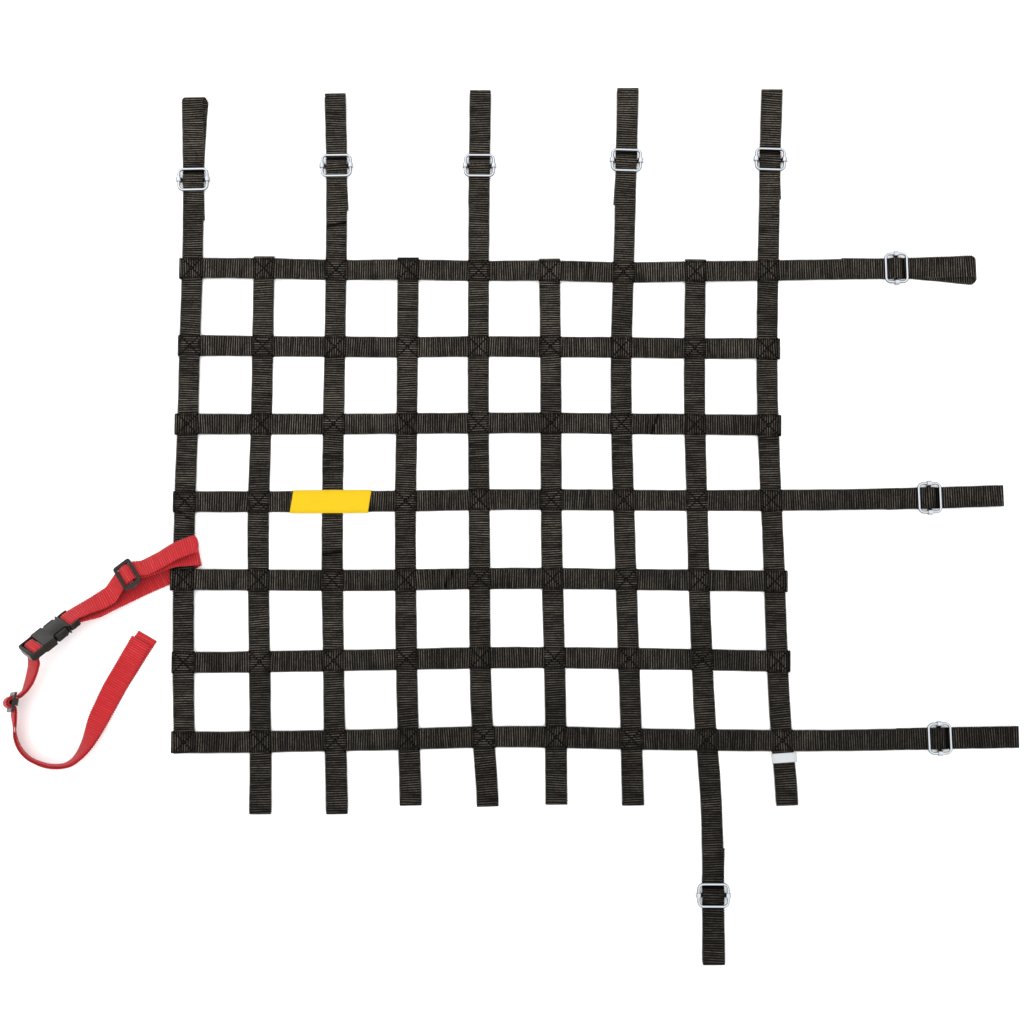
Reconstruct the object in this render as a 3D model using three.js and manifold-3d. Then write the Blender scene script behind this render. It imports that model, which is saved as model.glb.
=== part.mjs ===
// Racing window net, lying face up: X to the right, Y up the net, Z up from the surface it lies on.
// The origin is the middle of the crossing of row 4 and column 5, on the surface. Millimetres.
import * as THREE from "three";
import { mergeVertices } from "three/addons/utils/BufferGeometryUtils.js";
import Module from "manifold-3d";

const wasm = await Module();
wasm.setup();

// webbing
const WEB_WIDTH = 24;
const WEB_THICK = 1.5;
const GAP = 0.3;
const STEP = WEB_THICK + GAP;
const LOW = WEB_THICK / 2;
const CROSS_FLAT = 14;
const FOLD_STEPS = 5;
const FOLD_BACK = 11;
const CUT_END = 11.5;
const TOP_FOLD = 14.5;
const RIGHT_FOLD = 14.4;
const NUDGE = 0.5;

// loops
const LOOP_RISE = 8;
const FOOT_RISE = 6.6;
const SLIDE_FLAT = 14.5;
const SLIDE_NEAR = 8.5;
const SLIDE_TOP = 3;
const SLIDE_LIFT = 2.5;
const TAIL_STEP = 2;

// metal slide
const WIRE = 3;
const FRAME_ACROSS = 34;
const FRAME_ALONG = 26;
const FRAME_CORNER = 5;
const FRAME_Z = 5.1;
const ROD_LOW = 0.2;
const ROD_HIGH = 2.2;
const ROD_WIDTH = 4.4;
const HOOK_OUT = 3;
const HOOK_HOLE = 1.85;
const HOOK_FROM = -50;
const HOOK_TO = 215;
const HOOK_STEPS = 8;
const ROD_FOOT = 1.2;
const ROD_NECK = 2.6;

// plastic slider with three bars
const SLIDER = {
  length: 34, slot: 12.8, reach: 10.5, inner: 7, barLow: 2.2, barHigh: 4.7, mid: 1.5, midHalf: 1,
  postHalf: 3.5, postEnd: 0.6, corner: 3,
};

// side release buckle, measured from its middle along its length
const BUCKLE = {
  half: 14.6, ladderHalf: 14.4, slotHalf: 12.6, thick: 5, ladderThick: 4, tail: -32, body: -13,
  mouth: 18.6, slotEnd: -28.4, slotStart: -14, bar: -21.3, barReach: 3, windowIn: -1, windowOut: 17,
  windowEdge: 10, windowHalf: 4.4, pocketHalf: 11.6, pocketThick: 2.8, pocketEnd: -8,
  plugEnd: 31.2, plugThick: 3.4, plugSlot: 20.3, plugBar: 22.8, plugBarEnd: 26.6, prongEnd: -4,
  prongHalf: 2.2, armStart: 1, armMiddle: 9.8, armHalf: 1.2, padMiddle: 12.6, padHalf: 2.3,
  padThick: 4, padEnd: 14.6, barThick: 1.5, bodyCorner: 2, tailCorner: 4, windowCorner: 4, plugCorner: 2.5,
  padCorner: 2,
};
const THROUGH = 9;
const CORNER_PARTS = 3;

// Each column strap: its centre x at the heights named, and what its two ends do.
const COLUMN_HEIGHTS = [450, 300, 125, -40, -210, -330, -490];
const COLUMNS = [
  { no: 1, x: [-315, -312.5, -314, -316, -313.8, -310, -310], top: "loop", foot: "cut" },
  { no: 2, x: [-234.5, -234.5, -235, -237, -232.6, -230.5, -230.5], top: "fold", foot: "loop", end: -334 },
  { no: 3, x: [-158, -156, -157, -157.5, -154, -149.5, -149], top: "loop", foot: "loop", end: -334 },
  { no: 4, x: [-77.5, -77.5, -78, -79, -76, -71.5, -71], top: "fold", foot: "loop", end: -325 },
  { no: 5, x: [0.5, -0.6, -1, 0.5, 2.5, 10, 10], top: "loop", foot: "loop", end: -326 },
  { no: 6, x: [76, 76, 77.5, 78, 81.5, 82.5, 82.5], top: "fold", foot: "loop", end: -324 },
  { no: 7, x: [163, 158.5, 153.5, 156.5, 161, 163.5, 164], top: "loop", foot: "loop", end: -325 },
  { no: 8, x: [236, 236, 233, 235, 239.5, 246.5, 247.2], top: "fold", foot: "adjust" },
  { no: 9, x: [320.5, 316, 311.5, 315.5, 319.5, 326.5, 327], top: "loop", foot: "loop", end: -325 },
];

// Each row strap: its centre y at the places named, how far its left end folds out past the middle
// of column 1, and what its right end does.
const ROW_PLACES = [-272, -116, 38, 193, 377, 570];
const ROWS = [
  { no: 1, y: [253, 251.5, 250.5, 249, 251.8, 255], left: 14.5, right: "loop" },
  { no: 2, y: [168, 166.5, 167, 165.5, 164, 164], left: 14, right: "fold" },
  { no: 3, y: [82, 82.5, 83.5, 82.3, 80, 80], left: 14.5, right: "fold" },
  { no: 4, y: [-2, -1.5, 0.3, -0.5, 0, 4], left: 14, right: "loop" },
  { no: 5, y: [-86, -86.5, -84.5, -86, -88, -88], left: 14.8, right: "fold" },
  { no: 6, y: [-174, -171.5, -169, -170.5, -173.5, -174], left: 13.5, right: "fold" },
  { no: 7, y: [-258.5, -256, -252.5, -255.5, -256.5, -252.5], left: 14.4, right: "loop" },
];

// Adjuster loops: where the slide sits, where the loop ends, how far the sewn tail runs back from
// the slide, and how far the tail and the back of the loop stray to the left of the strap.
const LOOPS = {
  column_1: { slide: 351.5, end: 443.5, tail: 45, stray: -1, back: -5 },
  column_3: { slide: 367, end: 448, tail: 49, stray: -1.6, back: 1.2 },
  column_5: { slide: 367, end: 451.5, tail: 45, stray: 0.4, back: -0.6 },
  column_7: { slide: 373, end: 454, tail: 49, stray: 1.6, back: 0.8 },
  column_9: { slide: 374, end: 452.5, tail: 44, stray: -1.6, back: -0.8 },
  column_8: { slide: -418, end: -490, tail: 48, stray: -1.6, back: 0.6 },
  row_1: { slide: 453.5, end: 540, tail: 58, stray: 1.5, back: -8 },
  row_4: { slide: 484, end: 563.5, tail: 45, stray: -0.4, back: 0.6 },
  row_7: { slide: 489, end: 573, tail: 45, stray: 0.5, back: -0.6 },
};

const MATERIALS = {
  webbing: { color: "#2b2825", roughness: 0.85, metalness: 0 },
  red_webbing: { color: "#c9373b", roughness: 0.8, metalness: 0 },
  metal: { color: "#c3c8cd", roughness: 0.22, metalness: 1 },
  plastic: { color: "#2a2826", roughness: 0.45, metalness: 0 },
  front_label: { color: "#f0cf2f", roughness: 0.7, metalness: 0 },
  care_label: { color: "#eceef0", roughness: 0.75, metalness: 0 },
};

const net = new THREE.Group();
net.name = "window_net";

function addPiece(name, geometry, slot) {
  const mesh = new THREE.Mesh(geometry, new THREE.MeshStandardMaterial(MATERIALS[slot]));
  mesh.name = name;
  mesh.material.name = slot;
  net.add(mesh);
}

const vec = (x, y, z) => new THREE.Vector3(x, y, z);
const rad = THREE.MathUtils.degToRad;

// Smooth value between the measured places, which may run up or down.
function along(places, values, at) {
  const last = places.length - 1;
  const up = places[last] > places[0] ? 1 : -1;
  let i = 0;
  while (i < last - 1 && (at - places[i + 1]) * up > 0) i += 1;
  const slopeAt = (k) => {
    const a = Math.max(k - 1, 0);
    const b = Math.min(k + 1, last);
    return (values[b] - values[a]) / (places[b] - places[a]);
  };
  const span = places[i + 1] - places[i];
  const t = THREE.MathUtils.clamp((at - places[i]) / span, 0, 1);
  const t2 = t * t;
  const t3 = t2 * t;
  return (2 * t3 - 3 * t2 + 1) * values[i] + (t3 - 2 * t2 + t) * span * slopeAt(i)
    + (3 * t2 - 2 * t3) * values[i + 1] + (t3 - t2) * span * slopeAt(i + 1);
}

const columnX = (column, y) => along(COLUMN_HEIGHTS, column.x, y);
const rowY = (row, x) => along(ROW_PLACES, row.y, x);

function crossing(row, column) {
  let x = columnX(column, 0);
  let y = 0;
  for (let i = 0; i < 4; i += 1) {
    y = rowY(row, x);
    x = columnX(column, y);
  }
  return { x, y };
}

// The weave: which strap lies on top, and how many layers lie below the pair.
function rowOnTop(r, c) {
  if (c === 9) return true;
  return (r + Math.max(c, 2)) % 2 === 1;
}

function layersBelow(r, c) {
  if (c === 1) return r === 5 ? 2 : 1;
  if (r === 7 && c !== 8) return 1;
  if (r === 1 && COLUMNS[c - 1].top === "fold") return 1;
  if (c === 9 && ROWS[r - 1].right === "fold") return 1;
  return 0;
}

const levelZ = (level) => LOW + level * STEP;
const rowLevel = (r, c) => layersBelow(r, c) + (rowOnTop(r, c) ? 1 : 0);
const columnLevel = (r, c) => layersBelow(r, c) + (rowOnTop(r, c) ? 0 : 1);

// A flat strap bent through stations: p is the middle of the strap, a points to its edge.
function bentStrap(stations, width, thick, strips = 1) {
  const last = stations.length - 1;
  const box = new THREE.BoxGeometry(width, 1, thick, strips, last, 1);
  const position = box.attributes.position;
  const faceNormal = (i) => {
    const t = stations[i + 1].p.clone().sub(stations[i].p).normalize();
    return t.cross(stations[i].a.clone().add(stations[i + 1].a).normalize()).normalize();
  };
  const offsets = stations.map((station, i) => {
    const before = faceNormal(Math.max(i - 1, 0));
    const after = faceNormal(Math.min(i, last - 1));
    const normal = before.clone().add(after).normalize();
    return normal.multiplyScalar(1 / Math.max(normal.dot(after), 0.6));
  });
  for (let k = 0; k < position.count; k += 1) {
    const i = Math.round((0.5 - position.getY(k)) * last);
    const point = stations[i].p.clone()
      .addScaledVector(stations[i].a, position.getX(k))
      .addScaledVector(offsets[i], position.getZ(k));
    position.setXYZ(k, point.x, point.y, point.z);
  }
  box.computeVertexNormals();
  return box;
}

// Puts a side view path (place along the strap, height, stray to the left) onto the strap's line.
function onLine(path, centre) {
  return path.map(([at, z, stray = 0]) => {
    const here = centre(at);
    const heading = centre(at + NUDGE).sub(centre(at - NUDGE)).normalize();
    const left = vec(-heading.y, heading.x, 0);
    return { p: vec(here.x, here.y, z).addScaledVector(left, stray), a: left };
  });
}

// Half round fold, from the height it starts at to the height it ends at.
function fold(end, way, from, to, stray = 0) {
  const radius = Math.abs(to - from) / 2;
  const middle = end - way * (radius + LOW);
  const path = [];
  for (let i = 0; i <= FOLD_STEPS; i += 1) {
    const turn = (Math.PI * i) / FOLD_STEPS;
    const z = (from + to) / 2 - ((to - from) / 2) * Math.cos(turn);
    path.push([middle + way * radius * Math.sin(turn), z, (stray * i) / FOLD_STEPS]);
  }
  return path;
}

// The slide stretch of an adjuster loop in one layer, running outward; way is the way out.
function throughSlide(loop, way, level, stray) {
  const z = levelZ(level);
  return [
    [loop.slide - way * SLIDE_FLAT, z, stray],
    [loop.slide - way * SLIDE_NEAR, z, stray],
    [loop.slide - way * SLIDE_TOP, z + SLIDE_LIFT, stray],
    [loop.slide + way * SLIDE_TOP, z + SLIDE_LIFT, stray],
    [loop.slide + way * SLIDE_NEAR, z, stray],
    [loop.slide + way * SLIDE_FLAT, z, stray],
  ];
}

// Front layer out through the slide, round the loop's end and back below to the sewn tail.
function adjusterLoop(loop, way) {
  const tailEnd = loop.slide - way * loop.tail;
  const back = throughSlide(loop, way, 0, 0).reverse();
  return [
    [tailEnd - way * TAIL_STEP, levelZ(1), 0],
    ...throughSlide(loop, way, 1, 0),
    ...fold(loop.end, way, LOW + LOOP_RISE, LOW, loop.back),
    ...back,
    [tailEnd, LOW, loop.stray],
  ];
}

function columnPath(column) {
  const name = `column_${column.no}`;
  const path = [];
  if (column.foot === "loop") {
    const sewn = crossing(ROWS[6], column).y;
    path.push([sewn + FOLD_BACK, LOW], [sewn - CROSS_FLAT, LOW]);
    path.push(...fold(column.end, -1, LOW, LOW + FOOT_RISE));
  }
  if (column.foot === "adjust") path.push(...adjusterLoop(LOOPS[name], -1).reverse());
  for (let r = 7; r >= 1; r -= 1) {
    const y = crossing(ROWS[r - 1], column).y;
    const z = levelZ(columnLevel(r, column.no));
    const below = r === 7 && column.foot === "cut" ? CUT_END : CROSS_FLAT;
    path.push([y - below, z]);
    if (r > 1 || column.top === "loop") path.push([y + CROSS_FLAT, z]);
    else path.push(...fold(y + TOP_FOLD, 1, z, LOW), [y - FOLD_BACK, LOW]);
  }
  if (column.top === "loop") path.push(...adjusterLoop(LOOPS[name], 1));
  return path;
}

function rowPath(row) {
  const name = `row_${row.no}`;
  const path = [];
  for (const column of COLUMNS) {
    const c = column.no;
    const x = crossing(row, column).x;
    const z = levelZ(rowLevel(row.no, c));
    const under = levelZ(layersBelow(row.no, c) - 1);
    if (c === 1) path.push([x + FOLD_BACK, under], ...fold(x - row.left, -1, under, z));
    else path.push([x - CROSS_FLAT, z]);
    if (c < 9 || row.right === "loop") path.push([x + CROSS_FLAT, z]);
    else path.push(...fold(x + RIGHT_FOLD, 1, z, under), [x - FOLD_BACK, under]);
  }
  if (row.right === "loop") path.push(...adjusterLoop(LOOPS[name], 1));
  return path;
}

const columnLine = (column) => (y) => vec(columnX(column, y), y, 0);
const rowLine = (row) => (x) => vec(x, rowY(row, x), 0);

for (const row of ROWS) {
  const stations = onLine(rowPath(row), rowLine(row));
  addPiece(`row_strap_${row.no}`, bentStrap(stations, WEB_WIDTH, WEB_THICK), "webbing");
}
for (const column of COLUMNS) {
  const stations = onLine(columnPath(column), columnLine(column));
  addPiece(`column_strap_${column.no}`, bentStrap(stations, WEB_WIDTH, WEB_THICK), "webbing");
}

// Metal slide: a closed wire bent to a rounded oblong, from a torus laid along that line.
const CORNER_STEPS = 4;
const WIRE_SIDES = 8;

function oblongPoint(index) {
  const corner = Math.floor(index / (CORNER_STEPS + 1)) % 4;
  const turn = ((index % (CORNER_STEPS + 1)) / CORNER_STEPS + corner) * (Math.PI / 2);
  const signX = corner === 0 || corner === 3 ? 1 : -1;
  const signY = corner < 2 ? 1 : -1;
  const out = vec(Math.cos(turn), Math.sin(turn), 0);
  const halfX = (FRAME_ACROSS - WIRE) / 2 - FRAME_CORNER;
  const halfY = (FRAME_ALONG - WIRE) / 2 - FRAME_CORNER;
  return { middle: vec(signX * halfX, signY * halfY, 0).addScaledVector(out, FRAME_CORNER), out };
}

function wireFrame() {
  const count = 4 * (CORNER_STEPS + 1);
  const ring = new THREE.TorusGeometry(FRAME_ACROSS / 2, WIRE / 2, WIRE_SIDES, count);
  const position = ring.attributes.position;
  for (let k = 0; k < position.count; k += 1) {
    const index = k % (count + 1);
    const side = Math.floor(k / (count + 1)) % WIRE_SIDES;
    const angle = (side / WIRE_SIDES + 0.5 / WIRE_SIDES) * Math.PI * 2;
    const { middle, out } = oblongPoint(index % count);
    middle.addScaledVector(out, (WIRE / 2) * Math.cos(angle));
    position.setXYZ(k, middle.x, middle.y, (WIRE / 2) * Math.sin(angle));
  }
  ring.computeVertexNormals();
  return ring;
}

// The loose bar: a flat bar whose ends rise and close round the frame's side wires.
function hookedBar() {
  const side = (FRAME_ACROSS - WIRE) / 2;
  const outline = new THREE.Shape();
  const arc = (sign, from, to) => {
    for (let i = 0; i <= HOOK_STEPS; i += 1) {
      const turn = rad(from + ((to - from) * i) / HOOK_STEPS);
      const x = side + HOOK_OUT * Math.cos(turn);
      outline.lineTo(sign * x, FRAME_Z + HOOK_OUT * Math.sin(turn));
    }
  };
  outline.moveTo(-side - ROD_FOOT, ROD_LOW);
  outline.lineTo(side + ROD_FOOT, ROD_LOW);
  arc(1, HOOK_FROM, HOOK_TO);
  outline.lineTo(side - ROD_NECK, ROD_HIGH);
  outline.lineTo(-side + ROD_NECK, ROD_HIGH);
  arc(-1, HOOK_TO, HOOK_FROM);
  outline.closePath();
  for (const sign of [-1, 1]) {
    const hole = new THREE.Path();
    hole.absarc(sign * side, FRAME_Z, HOOK_HOLE, 0, Math.PI * 2, true);
    outline.holes.push(hole);
  }
  const depth = { depth: ROD_WIDTH, bevelEnabled: false, curveSegments: 10 };
  const bar = new THREE.ExtrudeGeometry(outline, depth);
  bar.translate(0, 0, -ROD_WIDTH / 2);
  bar.rotateX(Math.PI / 2);
  return bar;
}

function placeSlide(name, middle, heading) {
  const turn = Math.atan2(heading.y, heading.x) - Math.PI / 2;
  const frame = wireFrame();
  frame.rotateZ(turn);
  frame.translate(middle.x, middle.y, FRAME_Z);
  addPiece(`slide_frame_${name}`, frame, "metal");
  const bar = hookedBar();
  bar.rotateZ(turn);
  bar.translate(middle.x, middle.y, 0);
  addPiece(`slide_bar_${name}`, bar, "metal");
}

for (const [name, loop] of Object.entries(LOOPS)) {
  const [kind, no] = name.split("_");
  const centre = kind === "row" ? rowLine(ROWS[no - 1]) : columnLine(COLUMNS[no - 1]);
  const heading = centre(loop.slide + 1).sub(centre(loop.slide - 1));
  placeSlide(name, centre(loop.slide), heading);
}

// Labels: thin sheets that follow the strap they are sewn to.
const LABEL_THICK = 1;
const LABEL_SLACK = 0.05;
const LABEL_LIFT = LOW + GAP + LABEL_THICK / 2 + LABEL_SLACK;
const FRONT_LABEL = { middle: -159.5, length: 84, width: 25, shift: -0.3 };
const CARE_LABEL = { near: -269.8, far: -279.8, width: 27, shift: -0.5 };

function labelOnRow(row, column) {
  const x = crossing(row, column).x;
  const flat = levelZ(rowLevel(row.no, column.no));
  const before = crossing(row, COLUMNS[column.no - 2]).x;
  const after = crossing(row, COLUMNS[column.no]).x;
  const slope = (from, to) => STEP / Math.abs(to - from - 2 * CROSS_FLAT * Math.sign(to - from));
  const left = FRONT_LABEL.middle - FRONT_LABEL.length / 2;
  const right = FRONT_LABEL.middle + FRONT_LABEL.length / 2;
  const dropLeft = (x - CROSS_FLAT - left) * slope(x, before);
  const dropRight = (right - x - CROSS_FLAT) * slope(x, after);
  const z = flat + LABEL_LIFT;
  const shift = FRONT_LABEL.shift;
  return [
    [left, z - dropLeft, shift],
    [x - CROSS_FLAT, z, shift],
    [x + CROSS_FLAT, z, shift],
    [right, z - dropRight, shift],
  ];
}

const frontPath = labelOnRow(ROWS[3], COLUMNS[2]);
const frontStations = onLine(frontPath, rowLine(ROWS[3]));
addPiece("front_label", bentStrap(frontStations, FRONT_LABEL.width, LABEL_THICK), "front_label");

function carePath() {
  const column = COLUMNS[8];
  const sewn = crossing(ROWS[6], column).y - CROSS_FLAT;
  const foldStart = column.end + FOOT_RISE / 2 + LOW;
  const rise = (LOW + FOOT_RISE - levelZ(1)) / (sewn - foldStart);
  const z = levelZ(1) + LABEL_LIFT;
  return [
    [CARE_LABEL.far, z + (sewn - CARE_LABEL.far) * rise, CARE_LABEL.shift],
    [sewn, z, CARE_LABEL.shift],
    [CARE_LABEL.near, z, CARE_LABEL.shift],
  ];
}

const careStations = onLine(carePath(), columnLine(COLUMNS[8]));
addPiece("care_label", bentStrap(careStations, CARE_LABEL.width, LABEL_THICK), "care_label");

// A frame for moulded parts: u runs along the strap, a points to its raised edge, n is its face.
function moulding(middle, bearing, pitch, lift) {
  const level = vec(Math.sin(rad(bearing)), -Math.cos(rad(bearing)), 0);
  const u = vec(-level.y, level.x, 0).multiplyScalar(Math.cos(rad(pitch)));
  u.z = Math.sin(rad(pitch));
  const up = level.clone().cross(u);
  const a = level.multiplyScalar(Math.cos(rad(lift))).addScaledVector(up, Math.sin(rad(lift)));
  const n = u.clone().cross(a).negate();
  return { middle, u, a, n };
}

const BUCKLE_AT = moulding(vec(-451.6, -145.3, 23.7), 42.8, -21.8, 43);
const UPPER_SLIDER_AT = moulding(vec(-372.8, -82.4, 11.2), 37, 0, 28);
const LOWER_SLIDER_AT = moulding(vec(-488.4, -216.4, 17.6), -98.6, 7, -66);

function inFrame(frame, at, up) {
  const p = frame.middle.clone().addScaledVector(frame.u, at).addScaledVector(frame.n, up);
  return { p, a: frame.a.clone() };
}

function placeInFrame(geometry, frame) {
  const across = frame.a.clone().negate();
  const matrix = new THREE.Matrix4().makeBasis(frame.u, across, frame.n);
  matrix.setPosition(frame.middle);
  geometry.applyMatrix4(matrix);
  return geometry;
}

function toSolid(geometry) {
  geometry.deleteAttribute("normal");
  geometry.deleteAttribute("uv");
  const merged = mergeVertices(geometry);
  const vertProperties = new Float32Array(merged.attributes.position.array);
  const triVerts = new Uint32Array(merged.index.array);
  return new wasm.Manifold(new wasm.Mesh({ numProp: 3, vertProperties, triVerts }));
}

function toGeometry(solid) {
  const mesh = solid.getMesh();
  const geometry = new THREE.BufferGeometry();
  geometry.setAttribute("position", new THREE.Float32BufferAttribute(mesh.vertProperties, 3));
  geometry.setIndex(Array.from(mesh.triVerts));
  return geometry;
}

// Rounded plate from u0 to u1, so far to each side of v, between two heights.
function plate(u0, u1, v, half, low, high, corner) {
  const outline = new THREE.Shape();
  const quarter = (x, y, from) => outline.absarc(x, y, corner, from, from + Math.PI / 2, false);
  outline.moveTo(u1, v - half + corner);
  quarter(u1 - corner, v + half - corner, 0);
  quarter(u0 + corner, v + half - corner, Math.PI / 2);
  quarter(u0 + corner, v - half + corner, Math.PI);
  quarter(u1 - corner, v - half + corner, Math.PI * 1.5);
  const options = { depth: high - low, bevelEnabled: false, curveSegments: CORNER_PARTS };
  const geometry = new THREE.ExtrudeGeometry(outline, options);
  geometry.translate(0, 0, low);
  return toSolid(geometry);
}

function block(u0, u1, v0, v1, low, high) {
  const geometry = new THREE.BoxGeometry(u1 - u0, v1 - v0, high - low);
  geometry.translate((u0 + u1) / 2, (v0 + v1) / 2, (low + high) / 2);
  return toSolid(geometry);
}

// Socket: a deep body with a pocket and two side windows, and a thinner end with a strap bar.
function buckleSocket() {
  const b = BUCKLE;
  const bar = [b.bar - b.barReach, b.bar + b.barReach];
  let socket = plate(b.body - 2, b.mouth, 0, b.half, -b.thick, b.thick, b.bodyCorner)
    .add(plate(b.tail, b.body + 4, 0, b.ladderHalf, -b.ladderThick, b.ladderThick, b.tailCorner))
    .subtract(block(b.slotEnd, b.slotStart, -b.slotHalf, b.slotHalf, -THROUGH, THROUGH))
    .add(block(...bar, -b.slotHalf - 1, b.slotHalf + 1, -b.barThick, b.barThick));
  const pocketEnd = b.mouth + 1;
  socket = socket.subtract(
    block(b.pocketEnd, pocketEnd, -b.pocketHalf, b.pocketHalf, -b.pocketThick, b.pocketThick),
  );
  const middle = b.windowEdge + b.windowHalf;
  for (const side of [-1, 1]) {
    const edge = side * middle;
    const round = b.windowCorner;
    const window = plate(b.windowIn, b.windowOut, edge, b.windowHalf, -THROUGH, THROUGH, round);
    const [from, to] = side < 0 ? [-b.half - 1, -middle] : [middle, b.half + 1];
    socket = socket.subtract(window)
      .subtract(block(b.windowIn + round, b.windowOut - round, from, to, -THROUGH, THROUGH));
  }
  return socket;
}

// Plug: a shoulder with a strap bar, a middle prong and two side arms with pads in the windows.
function bucklePlug() {
  const b = BUCKLE;
  const thin = b.pocketThick - GAP;
  let plug = plate(b.mouth + GAP, b.plugEnd, 0, b.ladderHalf, -b.plugThick, b.plugThick, b.plugCorner)
    .subtract(block(b.plugSlot, b.plugEnd + 1, -b.slotHalf, b.slotHalf, -THROUGH, THROUGH))
    .add(block(b.plugBar, b.plugBarEnd, -b.slotHalf - 1, b.slotHalf + 1, -b.barThick, b.barThick))
    .add(block(b.prongEnd, b.mouth + 1, -b.prongHalf, b.prongHalf, -thin, thin));
  for (const side of [-1, 1]) {
    const arm = side * b.armMiddle;
    const pad = side * b.padMiddle;
    plug = plug.add(block(b.armStart, b.mouth + 1, arm - b.armHalf, arm + b.armHalf, -thin, thin))
      .add(plate(b.armStart, b.padEnd, pad, b.padHalf, -b.padThick, b.padThick, b.padCorner));
  }
  return plug;
}

// Slider: an oblong ring raised above a middle bar, joined at its two ends by short posts.
function threeBarSlider() {
  const s = SLIDER;
  const half = s.length / 2;
  let slider = plate(-s.reach, s.reach, 0, half, s.barLow, s.barHigh, s.corner)
    .subtract(block(-s.inner, s.inner, -s.slot, s.slot, -THROUGH, THROUGH))
    .add(block(-s.mid, s.mid, -half + 1, half - 1, -s.midHalf, s.midHalf));
  for (const [from, to] of [[s.postEnd - half, -s.slot], [s.slot, half - s.postEnd]]) {
    slider = slider.add(block(-s.postHalf, s.postHalf, from, to, -s.midHalf, s.barLow + 0.5));
  }
  return slider;
}

addPiece("buckle_socket", placeInFrame(toGeometry(buckleSocket()), BUCKLE_AT), "plastic");
addPiece("buckle_plug", placeInFrame(toGeometry(bucklePlug()), BUCKLE_AT), "plastic");
const upperSlider = placeInFrame(toGeometry(threeBarSlider()), UPPER_SLIDER_AT);
addPiece("red_upper_slider", upperSlider, "plastic");
const lowerSlider = placeInFrame(toGeometry(threeBarSlider()), LOWER_SLIDER_AT);
addPiece("red_lower_slider", lowerSlider, "plastic");

// Free ribbon rows: middle of the strap, then bearing and lift of the edge it points to, degrees.
function rowStations(rows) {
  return rows.map((row) => {
    const flat = Math.cos(rad(row.lift));
    const a = vec(flat * Math.cos(rad(row.edge)), flat * Math.sin(rad(row.edge)), Math.sin(rad(row.lift)));
    return { p: vec(row.x, row.y, row.z), a };
  });
}

// Smooth run through the rows, with one or more stations between each pair.
function smooth(stations, parts) {
  const curve = new THREE.CatmullRomCurve3(stations.map((s) => s.p), false, "centripetal");
  const run = [];
  const last = stations.length - 1;
  for (let i = 0; i < last; i += 1) {
    for (let k = 0; k < parts; k += 1) {
      const p = curve.getPoint((i + k / parts) / last);
      const a = stations[i].a.clone().lerp(stations[i + 1].a, k / parts).normalize();
      run.push({ p, a });
    }
  }
  run.push(stations[last]);
  return run;
}

// Moves a run off its own face by so much, and sideways along its edge direction.
function layer(run, off, side = () => 0) {
  return run.map((station, i) => {
    const next = run[Math.min(i + 1, run.length - 1)].p;
    const back = run[Math.max(i - 1, 0)].p;
    const face = next.clone().sub(back).cross(station.a).normalize();
    const p = station.p.clone().addScaledVector(face, off);
    return { p: p.addScaledVector(station.a, side(i, run.length)), a: station.a };
  });
}

// Red upper strap, from the buckle plug to the slider.
const PLUG_RUN = [
  { x: -413.8, y: -114.6, z: 12.4, edge: -48, lift: 38 },
  { x: -403, y: -109.1, z: 11.2, edge: -55, lift: 29 },
  { x: -391.5, y: -102.2, z: 10.6, edge: -54, lift: 22 },
];

// Its free end, from the slider out over the loop and past column 1.
const FREE_END = [
  { x: -356.5, y: -73.8, z: 11.4, edge: -58, lift: 35 },
  { x: -340, y: -65.7, z: 12.9, edge: -61, lift: 34 },
  { x: -324, y: -56.4, z: 14, edge: -64, lift: 32 },
  { x: -308.6, y: -50, z: 13.8, edge: -69, lift: 30 },
  { x: -298.8, y: -47, z: 13, edge: -74, lift: 31 },
];

// The loop, from the slider over column 1, round its right edge and back below to the buckle plug.
const NET_RUN = [
  { x: -355.8, y: -75.2, z: 9.2, edge: -58, lift: 34 },
  { x: -341, y: -68.6, z: 9.4, edge: -62, lift: 27 },
  { x: -327, y: -62.8, z: 9.3, edge: -67, lift: 14 },
  { x: -312, y: -60.6, z: 8.7, edge: -73, lift: 10 },
  { x: -304.5, y: -59.7, z: 8.7, edge: -75, lift: 7 },
  { x: -300.7, y: -59.7, z: 7.9, edge: -76, lift: 7 },
  { x: -299.4, y: -60, z: 4.6, edge: -77, lift: 7 },
  { x: -302.8, y: -60.8, z: 1.5, edge: -70, lift: 1 },
  { x: -309.5, y: -64.5, z: 0.8, edge: -61, lift: 0 },
  { x: -322, y: -72, z: 0.8, edge: -60, lift: 0 },
  { x: -337, y: -81.3, z: 0.8, edge: -61, lift: 0 },
  { x: -357, y: -90.8, z: 3.2, edge: -60, lift: 10 },
  { x: -382, y: -106.8, z: 5.6, edge: -59, lift: 19 },
  { x: -405, y: -121.6, z: 8, edge: -57, lift: 34 },
];

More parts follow.
